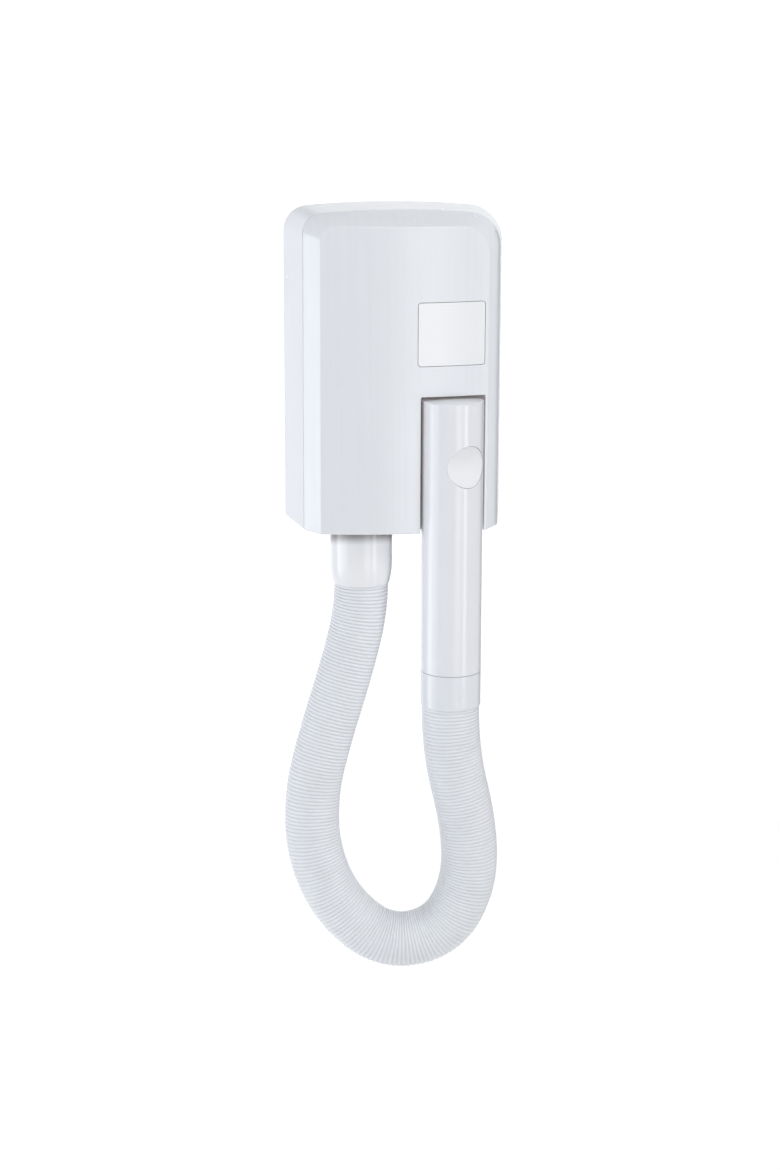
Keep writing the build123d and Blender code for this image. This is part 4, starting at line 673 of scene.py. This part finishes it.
hose = grown(hose_line, ribbed, "ribbed_air_hose", Rib_Pitch=rib_pitch, Rib_Height=rib_height,
             Start_Radius=hose_start_radius, End_Radius=hose_end_radius, Sides=hose_sides,
             Material=vinyl)
bpy.data.objects.remove(hose_line)
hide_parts("air_hose")
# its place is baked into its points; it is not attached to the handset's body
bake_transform(hose)

# ---------------------------------------------------------------- swivel collar
# The ring that the hose is fixed to. It turns on the handset's spigot, behind a steel snap
# ring, so the hose doesn't twist.
wear_finish(shell_abs, "swivel_collar")
wear_finish(ground, "retaining_ring")

# ---------------------------------------------------------------- handset
# A straight 44 mm tube of the same ABS with a low domed cap. Its air outlet is a louvre in
# the side that is turned away from the thumb button. A steel plate inside holds it to the
# cradle's magnet.
handset_abs = polished_abs("abs_polished_handset", "#EFF0F4", 0.22)
wear_finish(handset_abs, "handset_shell", "handset_cap", "outlet_grille")
wear_finish(plain_white, "outlet_frame", "button_guide")
wear_finish(black_epoxy, "handset_switch")
wear_finish(zinc, "keeper_plate")

# ---------------------------------------------------------------- thumb button
# A round push button, hollowed for the thumb. Its tool is less polished than the tube's, which
# leaves it a lighter, more satin white.
wear_finish(polished_abs("abs_satin_button", "#F5F6F9", 0.30), "thumb_button")

# ---------------------------------------------------------------- screws
# Self-tapping pan-head screws of zinc-plated steel with a cross recess, all cut from one
# tree, which sets one on each seat that the mouldings have for it.
screw_tree = bpy.data.node_groups.new("pan_head_screws", "GeometryNodeTree")
for label, kind in (("Seats", "NodeSocketGeometry"), ("Axis", "NodeSocketVector"),
                    ("Head Radius", "NodeSocketFloat"), ("Head Height", "NodeSocketFloat"),
                    ("Core Radius", "NodeSocketFloat"), ("Shank Length", "NodeSocketFloat"),
                    ("Cross Width", "NodeSocketFloat"), ("Material", "NodeSocketMaterial")):
    screw_tree.interface.new_socket(label, in_out="INPUT", socket_type=kind)
screw_tree.interface.new_socket("Screws", in_out="OUTPUT", socket_type="NodeSocketGeometry")
given = add(screw_tree, "NodeGroupInput").outputs
head_sides, shank_sides = 40, 20
# the edge's and the cone's share of the head's height, and the flat top's of its radius
edge_share, cone_share, flat_share = 0.45, 0.55, 0.62
# length of the cross to its width
cross_share = 4.2
# the thread's pitch, the step it is drawn in, and its root's share of its radius
thread_pitch, thread_step, thread_root = 0.0013, 0.00033, 0.78


def times(size, share):
    """A size of the screw times a share."""
    return add(screw_tree, "ShaderNodeMath", {"operation": "MULTIPLY"}, (size, share))


# the head: a straight edge below, a cone above it, and a flat top
edge_height = times(given["Head Height"], edge_share)
edge = add(screw_tree, "GeometryNodeMeshCone", None, Vertices=head_sides, Depth=edge_height,
           Radius_Top=given["Head Radius"], Radius_Bottom=given["Head Radius"])
dome = add(screw_tree, "GeometryNodeMeshCone", None, Vertices=head_sides,
           Depth=times(given["Head Height"], cone_share),
           Radius_Top=times(given["Head Radius"], flat_share),
           Radius_Bottom=given["Head Radius"])
rise = add(screw_tree, "ShaderNodeCombineXYZ", None, Z=edge_height)
dome = add(screw_tree, "GeometryNodeTransform", None, Geometry=dome, Translation=rise)
head = add(screw_tree, "GeometryNodeMeshBoolean", {"operation": "UNION", "solver": "EXACT"})
for half in (edge, dome):
    screw_tree.links.new(half.outputs[0], head.inputs["Mesh 2"])
# the cross recess: two crossed bars, sunk through half the head
bar_length = times(given["Cross Width"], cross_share)
long_bar = add(screw_tree, "ShaderNodeCombineXYZ", None,
               (bar_length, given["Cross Width"], given["Head Height"]))
cross_bar = add(screw_tree, "ShaderNodeCombineXYZ", None,
                (given["Cross Width"], bar_length, given["Head Height"]))
lift = add(screw_tree, "ShaderNodeCombineXYZ", None, Z=given["Head Height"])
for size in (long_bar, cross_bar):
    bar = add(screw_tree, "GeometryNodeMeshCube", None, Size=size)
    bar = add(screw_tree, "GeometryNodeTransform", None, Geometry=bar, Translation=lift)
    head = add(screw_tree, "GeometryNodeMeshBoolean",
               {"operation": "DIFFERENCE", "solver": "EXACT"}, Mesh_1=head, Mesh_2=bar)
# the shank, with the thread as rings
tip = add(screw_tree, "ShaderNodeCombineXYZ", None, Z=times(given["Shank Length"], -1.0))
core = add(screw_tree, "GeometryNodeCurvePrimitiveLine", None, Start=(0.0, 0.0, 0.0), End=tip)
core = add(screw_tree, "GeometryNodeResampleCurve", {"mode": "LENGTH"},
           (core, None, thread_step))
down = add(screw_tree, "GeometryNodeSplineParameter").outputs["Length"]
wave = add(screw_tree, "ShaderNodeMath", {"operation": "SINE"},
           (times(down, math.pi / thread_pitch),))
crest = add(screw_tree, "ShaderNodeMath", {"operation": "ABSOLUTE"}, (wave,))
thick = add(screw_tree, "ShaderNodeMapRange", None, (crest, 0.0, 1.0, thread_root, 1.0))
ring = add(screw_tree, "GeometryNodeCurvePrimitiveCircle", None, Resolution=shank_sides,
           Radius=1.0)
shank = add(screw_tree, "GeometryNodeCurveToMesh", None,
            (core, ring, times(thick, given["Core Radius"]), True))
screw = add(screw_tree, "GeometryNodeJoinGeometry")
for part in (shank, head):
    screw_tree.links.new(part.outputs[0], screw.inputs[0])
aim = add(screw_tree, "FunctionNodeAlignRotationToVector", {"axis": "Z"}, Vector=given["Axis"])
stand = add(screw_tree, "GeometryNodeMeshToPoints", None, (given["Seats"],))
placed = add(screw_tree, "GeometryNodeInstanceOnPoints", None, Points=stand, Instance=screw,
             Rotation=aim)
real = add(screw_tree, "GeometryNodeRealizeInstances", None, (placed,))
dressed = add(screw_tree, "GeometryNodeSetMaterial", None, Geometry=real,
              Material=given["Material"])
add(screw_tree, "NodeGroupOutput", None, (dressed,))


def screw_boxes(name):
    """The box of each screw in a node: its loose triangles, grouped by what touches."""
    loose = bmesh.new()
    loose.from_mesh(nodes[name].data)
    bmesh.ops.remove_doubles(loose, verts=loose.verts, dist=1e-6)
    boxes, seen = [], set()
    for first in loose.verts:
        if first in seen:
            continue
        waiting, joined = [first], {first}
        while waiting:
            point = waiting.pop()
            for link in point.link_edges:
                other = link.other_vert(point)
                if other not in joined:
                    joined.add(other)
                    waiting.append(other)
        seen |= joined
        spots = [v.co for v in joined]
        boxes.append([Vector([pick(s[i] for s in spots) for i in range(3)])
                      for pick in (min, max)])
    loose.free()
    return boxes


core_radius, cross_width = 0.0015, 0.0008
downwards, frontwards, backwards = Vector((0, 0, -1)), Vector((0, -1, 0)), Vector((0, 1, 0))
# node, the way its heads face, and head height
screw_sets = (
    ("cover_screws", downwards, 0.0016), ("cradle_screws", backwards, 0.0018),
    ("clamp_screws", frontwards, 0.0018), ("board_screws", frontwards, 0.0016),
    ("blower_screws", frontwards, 0.0018), ("motor_screws", backwards, 0.0016),
)
for name, axis, head_height in screw_sets:
    seats = []
    for low, high in screw_boxes(name):
        screw_length = abs((high - low).dot(axis))
        head_radius = (high - low).x / 2
        seats.append((low + high) / 2 + axis * (screw_length / 2 - head_height))
    seat_mesh = bpy.data.meshes.new(name + "_seats")
    seat_mesh.from_pydata(seats, [], [])
    stand_in = bpy.data.objects.new(name + "_seats", seat_mesh)
    bpy.context.scene.collection.objects.link(stand_in)
    piece = grown(stand_in, screw_tree, "cross_" + name, Axis=axis, Head_Radius=head_radius,
                  Head_Height=head_height, Core_Radius=core_radius,
                  Shank_Length=screw_length - head_height, Cross_Width=cross_width,
                  Material=zinc)
    bpy.data.objects.remove(stand_in)
    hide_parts(name)
    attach(piece, "housing")
wear_finish(zinc, "terminal_screws")
